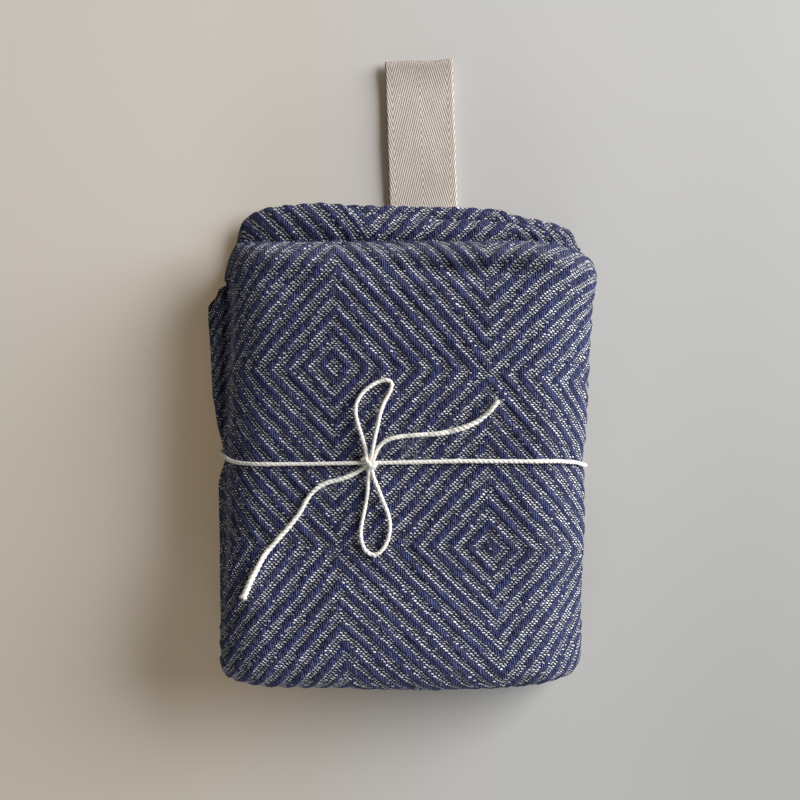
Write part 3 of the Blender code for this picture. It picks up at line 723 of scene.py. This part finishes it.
def wearAndHighlightAt(c, k, y, front, small):
    # the -X fold and the rear fold of the top run are worn paler, with a painted highlight along their rims
    pastFold = (c - 3) * np.where(c < 3, sideFoldX - leftFoldX, np.pi * towel["plyPitch"] / 2)
    wornAndHighlit = np.where(front & (k > 2) & (k < 3), hump(pastFold, *wearAndHighlightLook["foldLine"]), 0)
    wornAndHighlit = wornAndHighlit * ramp(-y, *wearAndHighlightLook["foldEnd"])
    place, width, share = wearAndHighlightLook["crest"]
    crest = np.where(front & (k > 3) & (k < 4) & (c > 2) & (c < 3), hump(k, place, width), 0)
    even, uneven = wearAndHighlightLook["patchy"]
    return np.clip(np.maximum(wornAndHighlit, share * crest) * (even + uneven * small), 0, 1)


def makeTowel():
    sheet = layFlatSheet("folded_towel")
    refineShownFaces(sheet)
    data = sheet.data
    flat = pointsOf(data)
    c = np.clip(flat[:, 0] / flatWidth * segments, 0, segments)
    k = np.clip(flat[:, 1] / flatLength * segments, 0, segments)
    front = flat[:, 2] > 0
    u, v = patternPlace(c, k)
    # blue floats stand proud of the pale stripes
    stripe = np.mod(stripePhase(u, v), 1.0)
    ridge = np.cos(2 * np.pi * (stripe - (1 + weave["paleShare"]) / 2))
    coarseScale, coarseShare, smallScale, smallShare = weave["swellings"]
    strength = noiseOver(u, v, coarseScale, 3.1)
    small = noiseOver(u, v, smallScale, 7.7)
    relief = weave["relief"] * (ridge * (1 + coarseShare * strength) + smallShare * small)
    x, y, z, upper = foldCloth(c, k, np.where(front, skin + relief, -skin))
    toneAndPaintedLight = data.attributes.new(weave["wearAndHighlightName"], "FLOAT", "POINT")
    toneAndPaintedLight.data.foreach_set("value", wearAndHighlightAt(c, k, y, front, small))
    atHem = ramp(-k, -0.07, 0.07) + ramp(k, 6.93, 0.07)
    byStripes, byChance = weave["hemRagged"]
    y = y + atHem * (byStripes * ridge + byChance * strength)
    x, y, z = soften(x, y, z, upper)
    near = ramp(z / stackHeight, 0.55, 0.35)
    z = z - creaseDepth(x, y) * near + shape["sway"] * noiseOver(x, y, 26, 1.3) * near
    data.vertices.foreach_set("co", np.column_stack([x, y, np.maximum(z, 0.0)]).ravel())
    clothMap = addMap(data, weave["mapName"])
    corner = np.empty(len(data.loops), int)
    data.loops.foreach_get("vertex_index", corner)
    clothMap.data.foreach_set("uv", np.column_stack([u[corner], v[corner]]).ravel())
    faceOutward()
    data.shade_smooth()
    data.update()
    print("towel folded:", len(data.polygons), "faces")
    return sheet


# dyes, and painted light and shade: lit and shaded warp floats and the shade in the gaps between them
dyesAndPaintedLight = {
    "floatLit": (0.138, 0.158, 0.365),
    "floatShaded": (0.0065, 0.0080, 0.034),
    "gap": (0.0015, 0.002, 0.008),
    "between": (0.024, 0.025, 0.044),
    "weft": (0.97, 0.98, 1.0),
    "weftShade": (0.15, 0.155, 0.20),
    # the worn, fuzzy colour of the folds, which also paints their highlight
    "fuzz": (0.300, 0.290, 0.350),
    "sheen": (0.70, 0.78, 1.0),
}
thread = {  # in pitches, unless said otherwise
    "endWander": 0.36,          # threads wander a little, so neither ends nor picks run quite straight
    "pickWander": 0.52,
    "dashSlip": 0.12,
    "dashStray": 0.06,          # in stripes
    "dashTilt": 0.20,
    "dashReach": (0.54, 0.78),
    "dashWidth": 0.28,
    "dashRise": 0.85,           # share of the bump
    "floatTilt": 0.16,
    "floatRun": 5.0,            # picks from one dip of a warp float to the next
    "hidden": 0.80,             # share of the warp that a pale stripe hides
    "bump": 0.00042,            # in metres
}


def stripeNodes(x, y):
    across = calc("PINGPONG", minus(x, weave["mirrorX"]), weave["halfAcross"])
    down = calc("PINGPONG", minus(y, weave["mirrorY"]), weave["halfAlong"])
    phase = scaled(across, weave["stripesAcross"] / weave["halfAcross"], weave["start"])
    return scaled(down, weave["stripesAlong"] / weave["halfAlong"], phase)


def makeTwillMaterial():
    mat, shader = newMaterial("diamondTwill")
    u, v = clothCoordinates(shader, weave["mapName"])
    def wander(place, scale, reach):
        return spread(unevenness(place, scale, 4.0, 0.65), 0.3, 0.7, -reach, reach)

    endSlip = wander(vectorOf(u, v), 300, thread["endWander"])
    pickSlip = wander(vectorOf(v, u), 260, thread["pickWander"])
    ends = scaled(u, 1 / weave["endPitch"], endSlip)
    picks = scaled(v, 1 / weave["pickPitch"], pickSlip)
    row = calc("FLOOR", picks)
    odd = calc("FLOORED_MODULO", row, 2.0)
    pairs = times(plus(ends, odd), 0.5)
    pair = calc("FLOOR", pairs)
    # each weft dash has its own chance: shade, place and length
    luck = newNode(u, "SeparateColor")
    feed(luck, {0: chanceAt(pair, row)["Color"]})
    shade, slip, reach = luck.outputs
    rowPlace = minus(fraction(picks), 0.5)
    rowPlace = plus(rowPlace, spread(slip, 0, 1, -thread["dashSlip"], thread["dashSlip"]))
    along = times(minus(fraction(pairs), 0.5), 2.0)
    # a dash takes its colour from its own middle
    dashU = times(minus(scaled(pair, 2.0, 1.0), odd), weave["endPitch"])
    dashV = times(plus(row, 0.5), weave["pickPitch"])
    phase = plus(stripeNodes(dashU, dashV), spread(reach, 0, 1, -thread["dashStray"], thread["dashStray"]))
    pale = calc("LESS_THAN", fraction(phase), weave["paleShare"])
    slanted = scaled(along, thread["dashTilt"], rowPlace)
    endwise = calc("POWER", over(absolute(along), spread(reach, 0, 1, *thread["dashReach"])), 3.0)
    crosswise = calc("POWER", absolute(over(slanted, thread["dashWidth"])), 2.0)
    dash = times(spread(plus(endwise, crosswise), 1.1, 0.4, smooth=True), pale)
    slub = unevenness(vectorOf(times(u, 0.35), v), 420)
    tone = times(spread(shade, 0.05, 0.55, 0.22, 1.0), spread(slub, 0.34, 0.58, 0.50, 1.0))
    weftColour = blendColours(tone, dyesAndPaintedLight["weftShade"], dyesAndPaintedLight["weft"])
    # warp floats: upright fine cords, each dipping under where its float turns; painted light and shade: each
    # cord lit along its middle, shaded at its sides and where it dips, with painted shade in the gaps between
    endPlace = minus(fraction(scaled(rowPlace, thread["floatTilt"], ends)), 0.5)
    roundness = minus(1.0, calc("POWER", times(absolute(endPlace), 2.0), 2.0))
    endNumber = calc("FLOOR", ends)
    twill = over(plus(picks, endNumber), thread["floatRun"])
    turn = spread(absolute(minus(fraction(twill), 0.5)), 0.5, 0.34, 0.45, 1.0, True)
    floatHeight = times(roundness, turn)
    floatChance = chanceAt(endNumber, calc("FLOOR", twill))[0]
    lint = unevenness(vectorOf(times(u, 3.0), v), 1100, 2.0, 0.6)
    floatShare = times(spread(floatHeight, 0.35, 1.0, smooth=True), spread(floatChance, 0, 1, 0.45, 1.0))
    floatShare = times(floatShare, spread(lint, 0.34, 0.62, 0.25, 1.0))
    floatColour = blendColours(floatShare, dyesAndPaintedLight["floatShaded"], dyesAndPaintedLight["floatLit"])
    warpColour = blendColours(spread(floatHeight, 0.05, 0.50, smooth=True), dyesAndPaintedLight["gap"], floatColour)
    hidden = times(pale, thread["hidden"])
    ground = blendColours(hidden, warpColour, dyesAndPaintedLight["between"])
    # folds that see the most handling go pale and fuzzy, with a painted highlight along their rims
    wornAndHighlit = newNode(u, "Attribute")
    wornAndHighlit.attribute_name = weave["wearAndHighlightName"]
    wornAndHighlitShare = times(wornAndHighlit.outputs["Fac"], spread(lint, 0.38, 0.58, 0.30, 0.95))
    height = calc("MAXIMUM", times(dash, thread["dashRise"]), times(minus(1.0, hidden), floatHeight))
    feed(shader, {"Base Color": blendColours(wornAndHighlitShare, blendColours(dash, ground, weftColour), dyesAndPaintedLight["fuzz"]),
                  "Normal": bumpFrom(height, thread["bump"], 1.0), "Roughness": 0.9,
                  "Specular IOR Level": 0.15, "Sheen Weight": 0.09, "Sheen Roughness": 0.45,
                  "Sheen Tint": dyesAndPaintedLight["sheen"]})
    return mat


# the tape loop: one strip doubled over, sewn in under the lower hem

tape = {
    "mapName": "tapeMetres",
    "grid": (34, 150),          # stations across and along
    "width": 0.0247,
    "thickness": 0.0006,
    "foldRadius": 0.00055,
    "flatShare": 0.985,         # the rest of the length is its fold
    "rootY": 0.0505,
    "endY": 0.1132,
    "rootX": 0.0089,
    "endX": 0.0068,
    "heights": (0.0011, 0.0011, 0.0017, 0.0019, 0.0017, 0.0017, 0.0023),
    "twillPitch": 0.00082,      # between twill lines across
    "twillRise": 0.00286,       # between twill lines along
    "edgeTwill": 0.0101,        # where the herringbone turns back, from the middle
    "pickPitch": 0.00105,       # between the small scallops of its edge
    "ripple": 0.00014,
    "scallop": 0.00008,
    "wave": 0.00035,
    "endWave": 0.0005,
    # painted shade in the valleys between the twill lines
    "valleyShade": (0.32, 0.255, 0.212),
    "thread": (0.71, 0.64, 0.575),
    # painted shade toward the fold
    "paintedFoldShade": (0.31, 0.26, 0.225),
}


def makeTape():
    strip = flatGrid("hanging_tape", *tape["grid"])
    length = tape["endY"] - tape["rootY"]
    half = length * tape["flatShare"]
    radius = tape["foldRadius"]
    bend = math.pi * radius
    total = 2 * half + bend
    data = strip.data
    tapeMap = addMap(data, tape["mapName"])
    for loop in data.loops:
        co = data.vertices[loop.vertex_index].co
        tapeMap.data[loop.index].uv = (co.x * tape["width"], (co.y + 0.5) * total - half - bend / 2)
    lean = (tape["rootX"] - tape["endX"]) / length
    for vertex in data.vertices:
        side = vertex.co.x * tape["width"]
        place = (vertex.co.y + 0.5) * total
        if place < half:
            out, level, forward = place, -1, 0
        elif place > half + bend:
            out, level, forward = total - place, 1, 0
        else:
            turn = (place - half) / radius - math.pi / 2
            out, level, forward = half, math.sin(turn), math.cos(turn)
        share = out / length
        height = float(np.interp(share * 6, range(7), tape["heights"]))
        edge = abs(vertex.co.x) * 2
        ripple = tape["ripple"] * noise.noise((side * 160, out * 110, level * 2)) * edge
        scallop = tape["scallop"] * math.sin(out / tape["pickPitch"] * 2 * math.pi) * edge ** 12
        wave = tape["wave"] * noise.noise((side * 55, out * 55, 4.2))
        endWave = tape["endWave"] * noise.noise((side * 120, 0.3, 9.1)) * share ** 8
        middle = tape["rootX"] + (tape["endX"] - tape["rootX"]) * share
        vertex.co.x = middle + side + math.copysign(scallop, side) + ripple
        vertex.co.y = tape["rootY"] + out + forward * radius + side * lean + endWave
        vertex.co.z = height + level * radius + wave
    thicken(strip, tape["thickness"])
    faceOutward()
    data.shade_smooth()
    print("tape loop doubled over")
    return strip, total


def makeTapeMaterial():
    mat, shader = newMaterial("herringboneTape")
    u, v = clothCoordinates(shader, tape["mapName"])
    side = absolute(u)
    turned = calc("MINIMUM", side, minus(2 * tape["edgeTwill"], side))
    lines = minus(over(turned, tape["twillPitch"]), over(absolute(v), tape["twillRise"]))
    lines = plus(lines, spread(unevenness(vectorOf(u, v), 700, 1.0), 0.3, 0.7, -0.05, 0.05))
    # painted shade: the valleys between the twill lines are darker
    threads = spread(calc("PINGPONG", times(lines, 2.0), 1.0), 0.12, 0.62, smooth=True)
    patchy = unevenness(vectorOf(times(u, 3.0), v), 90, 3.0)
    tone = times(threads, spread(patchy, 0.25, 0.75, 0.8, 1.1))
    colour = blendColours(tone, tape["valleyShade"], tape["thread"])
    # painted shade: a little darker toward its fold
    paintedFoldShade = spread(absolute(v), 0.0002, 0.013, 0.42, 0.0, True)
    feed(shader, {"Base Color": blendColours(paintedFoldShade, colour, tape["paintedFoldShade"]),
                  "Normal": bumpFrom(threads, 0.00012, 0.9), "Roughness": 0.8, "Specular IOR Level": 0.3})
    return mat


# the twine: two strands laid together

twine = {
    "mapName": "cordMetres",
    "diameter": 0.0019,
    "strand": 0.00073,          # radius of one strand
    "offset": 0.00016,          # from the cord's middle to a strand's middle
    "lay": 0.0034,              # length of one full twist
    "sides": 16,
    "step": 0.00030,
    "bluntness": 0.00022,       # how far a cut end stands out in its middle
    "uneven": (0.09, 0.05, 0.05),       # its thickness, over long and short stretches and by fibre
    "pressed": (0.86, 0.80),    # height of a cord's middle, of its usual radius: on the cloth, in the knot
    # the darker fibres, and painted shade where the strands meet
    "valleyShade": (0.62, 0.56, 0.46),
    "fibre": (1.0, 0.98, 0.92),
}


def smoothCurve(knots):
    points = [Vector(knot) for knot in knots]
    ends = [points[0] * 2 - points[1]] + points + [points[-1] * 2 - points[-2]]
    fine = []
    for before, start, end, after in zip(ends, ends[1:], ends[2:], ends[3:]):
        for step in range(16):
            t = step / 16
            pull = (end - before) * t + (before * 2 - start * 5 + end * 4 - after) * t ** 2
            fine.append(start + (pull + (start * 3 - before - end * 3 + after) * t ** 3) / 2)
    fine.append(points[-1])
    return np.array(fine)


def evenly(line, spacing):
    lengths = lengthsAlong(line)
    count = max(3, int(round(lengths[-1] / spacing)))
    wanted = np.linspace(0, lengths[-1], count + 1)
    return np.column_stack([np.interp(wanted, lengths, line[:, axis]) for axis in range(3)])


def softened(values, reach):
    kernel = np.hanning(2 * reach + 3)[1:-1]
    return np.convolve(np.pad(values, reach, mode="edge"), kernel / kernel.sum(), mode="valid")


def layOnCloth(surface, plan, radius, reach=5):
    # plan holds x, y and lift in mm; the cord bridges the valleys between the ridges
    line = evenly(smoothCurve(np.array(plan) / 1000), twine["step"])
    down = Vector((0, 0, -1))
    heights = np.array([surface.ray_cast(Vector((x, y, 1.0)), down)[0].z for x, y, lift in line])
    padded = np.pad(heights, reach, mode="edge")
    highest = np.array([padded[i:i + 2 * reach + 1].max() for i in range(len(heights))])
    line[:, 2] += softened(highest, 6) + radius
    return line


def framesAlong(line):
    # the cord's direction, and two directions across it that never spin
    ahead = np.gradient(line, axis=0)
    ahead /= np.linalg.norm(ahead, axis=1)[:, None]
    normal = np.cross(ahead[0], (0, 0, 1.0) if abs(ahead[0][2]) < 0.9 else (1.0, 0, 0))
    normals = []
    for direction in ahead:
        normal = normal - direction * np.dot(normal, direction)
        normal /= np.linalg.norm(normal)
        normals.append(normal)
    normals = np.array(normals)
    return ahead, normals, np.cross(ahead, normals)


def sweepTwine(name, line, swell, seed):
    # swell is the thickness along the cord, as a share of the usual one
    count, sides = len(line), twine["sides"]
    lengths = lengthsAlong(line)
    ahead, normals, crossways = framesAlong(line)
    sizes = np.interp(lengths, np.linspace(0, lengths[-1], len(swell)), swell)
    verts, faces = [], []
    angles = np.arange(sides) / sides * 2 * np.pi
    offset, strand = twine["offset"], twine["strand"]
    section = offset * np.abs(np.cos(angles)) + np.sqrt(strand ** 2 - (offset * np.sin(angles)) ** 2)
    long, short, single = twine["uneven"]
    for i, at in enumerate(lengths):
        turn = 2 * np.pi * at / twine["lay"] + seed
        uneven = 1 + long * noise.noise((at * 330, seed, 0.5)) + short * noise.noise((at * 1400, seed, 4))
        radius = section * sizes[i] * uneven
        for j, angle in enumerate(angles):
            fibre = 1 + single * noise.noise((at * 900, math.cos(angle) * 3 + seed, math.sin(angle) * 3))
            out = normals[i] * math.cos(angle + turn) + crossways[i] * math.sin(angle + turn)
            verts.append(line[i] + out * radius[j] * fibre)
    for i in range(count - 1):
        for j in range(sides):
            k = (j + 1) % sides
            faces.append((i * sides + j, i * sides + k, (i + 1) * sides + k, (i + 1) * sides + j))
    for first, end, push in ((0, 0, -1), ((count - 1) * sides, -1, 1)):
        tip = len(verts)
        verts.append(line[end] + ahead[end] * push * twine["bluntness"])
        for j in range(sides):
            ring = (first + j, first + (j + 1) % sides, tip)
            faces.append(ring if push > 0 else ring[::-1])
    data = bpy.data.meshes.new(name)
    data.from_pydata([tuple(v) for v in verts], [], faces)
    cordMap = addMap(data, twine["mapName"])
    for face in data.polygons:
        wraps = len(face.vertices) == 4 and face.vertices[0] % sides == sides - 1
        for loop, vertex in zip(face.loop_indices, face.vertices):
            station, side = divmod(vertex, sides)
            if vertex >= count * sides:
                station, side = (0 if face.vertices[0] < sides * 2 else count - 1), 0
            if wraps and side == 0:
                side = sides
            cordMap.data[loop].uv = (lengths[station], side / sides)
    data.shade_smooth()
    return newPiece(name, data)


def makeTwineMaterial():
    mat, shader = newMaterial("creamTwine")
    s, around = clothCoordinates(shader, twine["mapName"])
    # a fine streak for each fibre, and painted shade: a dark line where the strands meet
    streaks = unevenness(vectorOf(times(s, 260.0), times(around, 11.0)), 1.0, 3.0, 0.6)
    valleyShade = spread(calc("PINGPONG", times(around, 4.0), 1.0), 0.7, 1.0, 1.0, 0.80, True)
    tone = times(spread(streaks, 0.3, 0.7, 0.6, 1.0), valleyShade)
    feed(shader, {"Base Color": blendColours(tone, twine["valleyShade"], twine["fibre"]),
                  "Normal": bumpFrom(streaks, 0.00012, 0.7), "Roughness": 0.75, "Specular IOR Level": 0.3,
                  "Sheen Weight": 0.15})
    return mat


bow = {  # places seen from above, in mm: x, y and lift over the cloth
    "upperLoop": (
        (-11.3, -33.2, 1.1), (-11.4, -30, 1.3), (-12, -26.8, 0.9), (-13.1, -23, 0.6), (-14.5, -18.3, 0.6),
        (-15.1, -14.6, 0.8), (-14.4, -11.4, 0.9), (-12.2, -8.3, 0.7), (-9.2, -6, 0.4), (-6.3, -4.7, 0.2),
        (-4.2, -4.5, 0.2), (-2.8, -5.7, 0.3), (-3.4, -8.3, 0.6), (-5.2, -11.7, 1), (-6.6, -15.4, 1.4),
        (-7.6, -19.8, 1.8), (-8.6, -24.4, 2), (-9.5, -28.6, 1.9), (-10.3, -32.5, 1.3)),
    "lowerLoop": (
        (-10.6, -32.8, 1.2), (-10.5, -35.6, 1.4), (-10.8, -38.8, 0.8), (-11.1, -43, 0.3),
        (-11.9, -47.9, 0.3), (-13, -53.1, 0.4), (-13.3, -57, 0.5), (-12.5, -60.5, 0.5), (-10.8, -62.8, 0.5),
        (-8.5, -63.4, 0.5), (-6.2, -62, 0.5), (-4.3, -58.8, 0.5), (-3.4, -54.5, 0.5), (-4, -50, 0.6),
        (-5.6, -45.8, 0.8), (-7.3, -41.5, 1.1), (-8.9, -37.5, 1.4), (-9.9, -33.8, 1.3)),
    "upperTail": (
        (-9.6, -33, 0.9), (-8.6, -30.2, 1.2), (-7.3, -27.4, 0.8), (-5.1, -25.2, 0.3), (-1.8, -24, 0.1),
        (3, -23.3, 0), (8, -22.9, 0), (12.8, -22.6, 0.1), (17.8, -21.6, 0.3), (22.5, -20.2, 0.5),
        (26.8, -18, 0.7), (30.3, -14.9, 1), (33.1, -11.5, 1.3)),
    "lowerTail": (
        (-10.8, -33.5, 0.7), (-12.7, -34.5, 0.9), (-15.8, -36.4, 0.5), (-20.5, -38.2, 0.1), (-25, -39.4, 0),
        (-28.9, -41.7, 0), (-31.8, -45.2, 0), (-34.3, -49.7, 0), (-38, -54.5, 0), (-42.4, -59.5, 0),
        (-46.1, -64, 0.1), (-48.8, -69.1, 0.2), (-51, -73.5, 0.3), (-52.9, -77.9, 0.4)),
    "wrap": (
        (-12.8, -32.2, -0.4), (-12.7, -31.4, 1), (-12, -31.1, 2.3), (-11.2, -31.8, 3.1), (-10.4, -32.8, 3.2),
        (-9.6, -33.8, 2.8), (-8.9, -34.2, 1.8), (-8.6, -33.7, 0.6)),
    "tuck": (
        (-11, -34.7, 0.2), (-10.5, -34.5, 1.6), (-9.7, -34.1, 2.7), (-8.9, -33.6, 2.9), (-8.4, -33, 2),
        (-8.3, -32.4, 0.6)),
}
swells = {  # thickness along each piece, as a share of the usual one
    "upperLoop": (0.86, 0.84, 0.82, 0.84, 0.86, 0.82, 0.84),
    "lowerLoop": (0.82, 0.80, 0.82, 0.86, 0.84, 0.86, 0.88),
    "upperTail": (0.80, 0.84, 0.88, 0.92, 1.08, 1.16, 1.10, 1.06),
    "lowerTail": (0.86, 0.96, 1.00, 0.98, 1.02, 1.06, 1.12, 1.24, 1.30),
    "wrap": (0.62, 0.70, 0.76, 0.80, 0.66),
    "tuck": (0.66, 0.84, 0.92, 0.70),
}
band = {
    "cutsY": (-0.0300, -0.0327, -0.0350),       # the cloth is measured at these places
    "spacing": 0.0004,
    "startX": -0.0108,
    # its line seen from above, in mm: over the top, and under the bundle
    "top": ((-63.2, -29.6), (-61.2, -31.0), (-59.2, -32.2), (-56.2, -32.9), (-50.0, -33.2), (-30.0, -33.0),
            (-10.8, -32.5), (-8.0, -32.6), (20.0, -31.9), (54.0, -32.1), (61.0, -32.8), (64.5, -34.1)),
    "below": ((-63.0, -29.0), (64.5, -35.5)),
    "swell": (0.82, 0.80, 0.78, 0.78, 0.80, 0.86, 0.88, 0.88),
}


def outlineOf(points):
    # the taut line round a cloud of points
    ordered = sorted(map(tuple, points))
    hull = []
    for sweep in (ordered, ordered[::-1]):
        side = []
        for p in sweep:
            while len(side) > 1 and ((side[-1][0] - side[-2][0]) * (p[1] - side[-2][1])
                                     - (side[-1][1] - side[-2][1]) * (p[0] - side[-2][0])) <= 0:
                side.pop()
            side.append(p)
        hull += side[:-1]
    return np.array(hull + hull[:1])


def bandLine(sheet, radius):
    # taut round the bundle at its pinched waist, from the knot's -X side down, under and up to its +X side
    whole = bmesh.new()
    whole.from_mesh(sheet.data)
    points = []
    for y in band["cutsY"]:
        cut = whole.copy()
        found = bmesh.ops.bisect_plane(cut, geom=cut.verts[:] + cut.edges[:] + cut.faces[:],
                                       plane_co=(0, y, 0), plane_no=(0, 1, 0))
        points += [(v.co.x, v.co.z) for v in found["geom_cut"] if isinstance(v, bmesh.types.BMVert)]
        cut.free()
    whole.free()
    ring = outlineOf(np.array(points))
    ring = evenly(np.column_stack([ring[:, 0], 0 * ring[:, 0], ring[:, 1]]), band["spacing"])[:-1]
    out = np.roll(ring, -2, axis=0) - np.roll(ring, 2, axis=0)
    out = np.column_stack([out[:, 2], 0 * out[:, 0], -out[:, 0]])
    out /= np.linalg.norm(out, axis=1)[:, None]
    ring = ring + out * radius * 0.9
    for axis in (0, 2):
        wrapped = np.concatenate([ring[-4:, axis], ring[:, axis], ring[:4, axis]])
        ring[:, axis] = np.convolve(wrapped, np.ones(9) / 9, mode="valid")
    start = int(np.argmin(np.hypot(ring[:, 0] - band["startX"], ring[:, 2] - ring[:, 2].max())))
    ring = np.roll(ring, -start, axis=0)
    x, z = ring[:, 0], np.maximum(ring[:, 2], radius + 0.0001)
    onTop, below = (np.interp(x, *(np.array(band[key]) / 1000).T) for key in ("top", "below"))
    return np.column_stack([x, softened(below + (onTop - below) * ramp(z, 0.004, 0.012), 3), z])


def cordLength(line):
    return float(np.linalg.norm(np.diff(line, axis=0), axis=1).sum())


def makeTwine(sheet):
    material = makeTwineMaterial()
    surface = BVHTree.FromPolygons([v.co for v in sheet.data.vertices],
                                   [p.vertices for p in sheet.data.polygons])
    onCloth, inKnot = (share * (twine["offset"] + twine["strand"]) for share in twine["pressed"])
    knot, laid = [], []
    for number, key in enumerate(("wrap", "tuck")):
        piece = sweepTwine("knot_" + key, layOnCloth(surface, bow[key], inKnot), swells[key], 0.6 + number)
        dress(piece, material, "bow_knot" if key == "wrap" else None)
        knot.append(piece)
    cords = {"tie_band": (bandLine(sheet, onCloth), band["swell"])}
    for node, key in (("bow_loop_upper", "upperLoop"), ("bow_loop_lower", "lowerLoop"),
                      ("tail_upper", "upperTail"), ("tail_lower", "lowerTail")):
        cords[node] = (layOnCloth(surface, bow[key], onCloth), swells[key])
    for number, (node, (line, swell)) in enumerate(cords.items()):
        piece = sweepTwine("twine_" + node, line, swell, 1.7 * number)
        dress(piece, material, node)
        laid.append(piece)
        print(node, "length", round(cordLength(line) * 1000, 1), "mm")
    return knot + laid


# loose fibres: short hairs on the cloth and the twine, and a wisp caught by the knot

fuzz = {
    "radius": 0.000032,
    "taper": 0.6,
    "lowest": 0.0002,           # no hair reaches into the table
    "edgeHairs": 4200,
    "rimHairs": 1500,           # along the rear roll and the -X fold of the top run
    "faceHairs": 1300,
    "twineHairs": 70,           # to each cord
    "wispPlace": (0.0040, -0.0280),
    "wispReach": 0.0042,
    "wispHairs": 80,
    "edgeLengths": (0.0004, 0.0012),
    "faceLengths": (0.0007, 0.0024),
    "rimLengths": (0.0005, 0.0014),
    "wispLengths": (0.0012, 0.0030),
    "twineLengths": (0.0006, 0.0026),
    "endLengths": (0.0005, 0.0018),
    "blue": ((0.07, 0.08, 0.20), (0.24, 0.27, 0.52)),
    "pale": ((0.55, 0.57, 0.66), (0.88, 0.90, 1.0)),
    "cream": ((0.80, 0.76, 0.68), (1.0, 0.98, 0.92)),
}


def combHairs(name, hairs, colours):
    # a hair is a list of points, thinner to its tip
    bpy.ops.object.select_all(action="DESELECT")
    curve = bpy.data.curves.new(name, "CURVE")
    curve.dimensions = "3D"
    curve.bevel_depth = fuzz["radius"]
    curve.bevel_resolution = 0
    curve.use_fill_caps = True
    for points in hairs:
        spline = curve.splines.new("POLY")
        spline.points.add(len(points) - 1)
        for number, (point, place) in enumerate(zip(spline.points, points)):
            point.co = (*place, 1)
            point.radius = 1 - fuzz["taper"] * number / (len(points) - 1)
    tuft = newPiece(name, curve)
    bpy.context.view_layer.objects.active = tuft
    tuft.select_set(True)
    bpy.ops.object.convert(target="MESH")
    faceOutward(merge=0.000001)
    mat, shader = newMaterial(name + "Fibre")
    mixed = spread(unevenness(objectCoordinates(shader), 900, 1.0), 0.35, 0.65)
    feed(shader, {"Base Color": blendColours(mixed, *colours), "Roughness": 0.7, "Specular IOR Level": 0.3})
    tuft = bpy.context.active_object
    dress(tuft, mat)
    print(name, "hairs:", len(hairs), "faces:", len(tuft.data.polygons))


def anyWay(dice, *spans):
    # each span is from and to; the others run from -1 to 1
    return Vector([dice.uniform(*span) for span in ((-1, 1),) * (3 - len(spans)) + spans])


def bentHair(dice, root, out, length, curl):
    side = anyWay(dice, (-0.6, 1.0))
    bend = anyWay(dice) * curl
    first = root - out * 0.00008
    middle = root + (out + side * 0.8).normalized() * length * 0.5
    tip = middle + (out * 0.5 + side * 0.8 + bend).normalized() * length * 0.5
    return [Vector((point.x, point.y, max(point.z, fuzz["lowest"]))) for point in (first, middle, tip)]


def fluffCloth(dice, sheet):
    faces = [face for face in sheet.data.polygons if face.center.z > 0.004 and face.normal.z > -0.2]
    rims = [face for face in faces if face.normal.z < 0.55 and face.area > 1e-8]
    tops = [face for face in faces if face.normal.z >= 0.55 and face.center.z > 0.014]
    lips = [face for face in faces if face.center.z > 0.024
            and ((face.normal.y > 0.35 and face.center.y > 0.038)
                 or (face.normal.x < -0.5 and face.center.x > -0.0605))]
    blue, pale = [], []
    for face in dice.choices(rims, weights=[face.area for face in rims], k=fuzz["edgeHairs"]):
        length = dice.uniform(*fuzz["edgeLengths"]) * dice.choice((1, 1, 1.6))
        hair = bentHair(dice, face.center, face.normal, length, 0.6)
        (blue if dice.random() < 0.72 else pale).append(hair)
    for face in dice.choices(tops, weights=[face.area for face in tops], k=fuzz["faceHairs"]):
        out = face.normal * 0.5 + Vector((dice.uniform(-1, 1), dice.uniform(-1, 1), 0.1))
        hair = bentHair(dice, face.center, out.normalized(), dice.uniform(*fuzz["faceLengths"]), 0.9)
        (pale if dice.random() < 0.6 else blue).append(hair)
    for face in dice.choices(lips, weights=[face.area for face in lips], k=fuzz["rimHairs"]):
        out = face.normal + Vector((0, 0, 0.7))
        hair = bentHair(dice, face.center, out.normalized(), dice.uniform(*fuzz["rimLengths"]), 0.7)
        (pale if dice.random() < 0.45 else blue).append(hair)
    wispX, wispY = fuzz["wispPlace"]
    around = [face for face in tops
              if math.hypot(face.center.x - wispX, face.center.y - wispY) < fuzz["wispReach"]]
    for face in dice.choices(around, k=fuzz["wispHairs"]):
        out = anyWay(dice, (-0.4, 1), (0.3, 0.8)).normalized()
        root = face.center + face.normal * 0.0002
        pale.append(bentHair(dice, root, out, dice.uniform(*fuzz["wispLengths"]), 1.2))
    combHairs("cloth_fuzz_blue", blue, fuzz["blue"])
    combHairs("cloth_fuzz_pale", pale, fuzz["pale"])


def fluffTwine(dice, cords):
    cream = []
    for cord in cords:
        loose = "tail" in cord.name
        vertices = cord.data.vertices
        for number in range(fuzz["twineHairs"] * (2 if loose else 1)):
            vertex = vertices[dice.randrange(len(vertices))]
            out = vertex.normal + Vector((dice.uniform(-0.8, 0.8), dice.uniform(-0.8, 0.8), 0.2))
            length = dice.uniform(*fuzz["twineLengths"])
            cream.append(bentHair(dice, vertex.co, out.normalized(), length, 0.8))
        if loose:
            # the cut end frays
            along = (vertices[-1].co - vertices[len(vertices) - 200].co).normalized()
            for vertex in vertices[-40:]:
                if dice.random() < 0.7:
                    out = (along + vertex.normal * 0.6).normalized()
                    cream.append(bentHair(dice, vertex.co, out, dice.uniform(*fuzz["endLengths"]), 0.5))
    combHairs("twine_fuzz", cream, fuzz["cream"])


addCamera()
addLamps()
addTable()
towelPiece = makeTowel()
dress(towelPiece, makeTwillMaterial(), "cloth")

tapePiece, tapeLength = makeTape()
dress(tapePiece, makeTapeMaterial(), "hanging_loop")

twinePieces = makeTwine(towelPiece)
dice = random.Random(12)
fluffCloth(dice, towelPiece)
fluffTwine(dice, twinePieces)
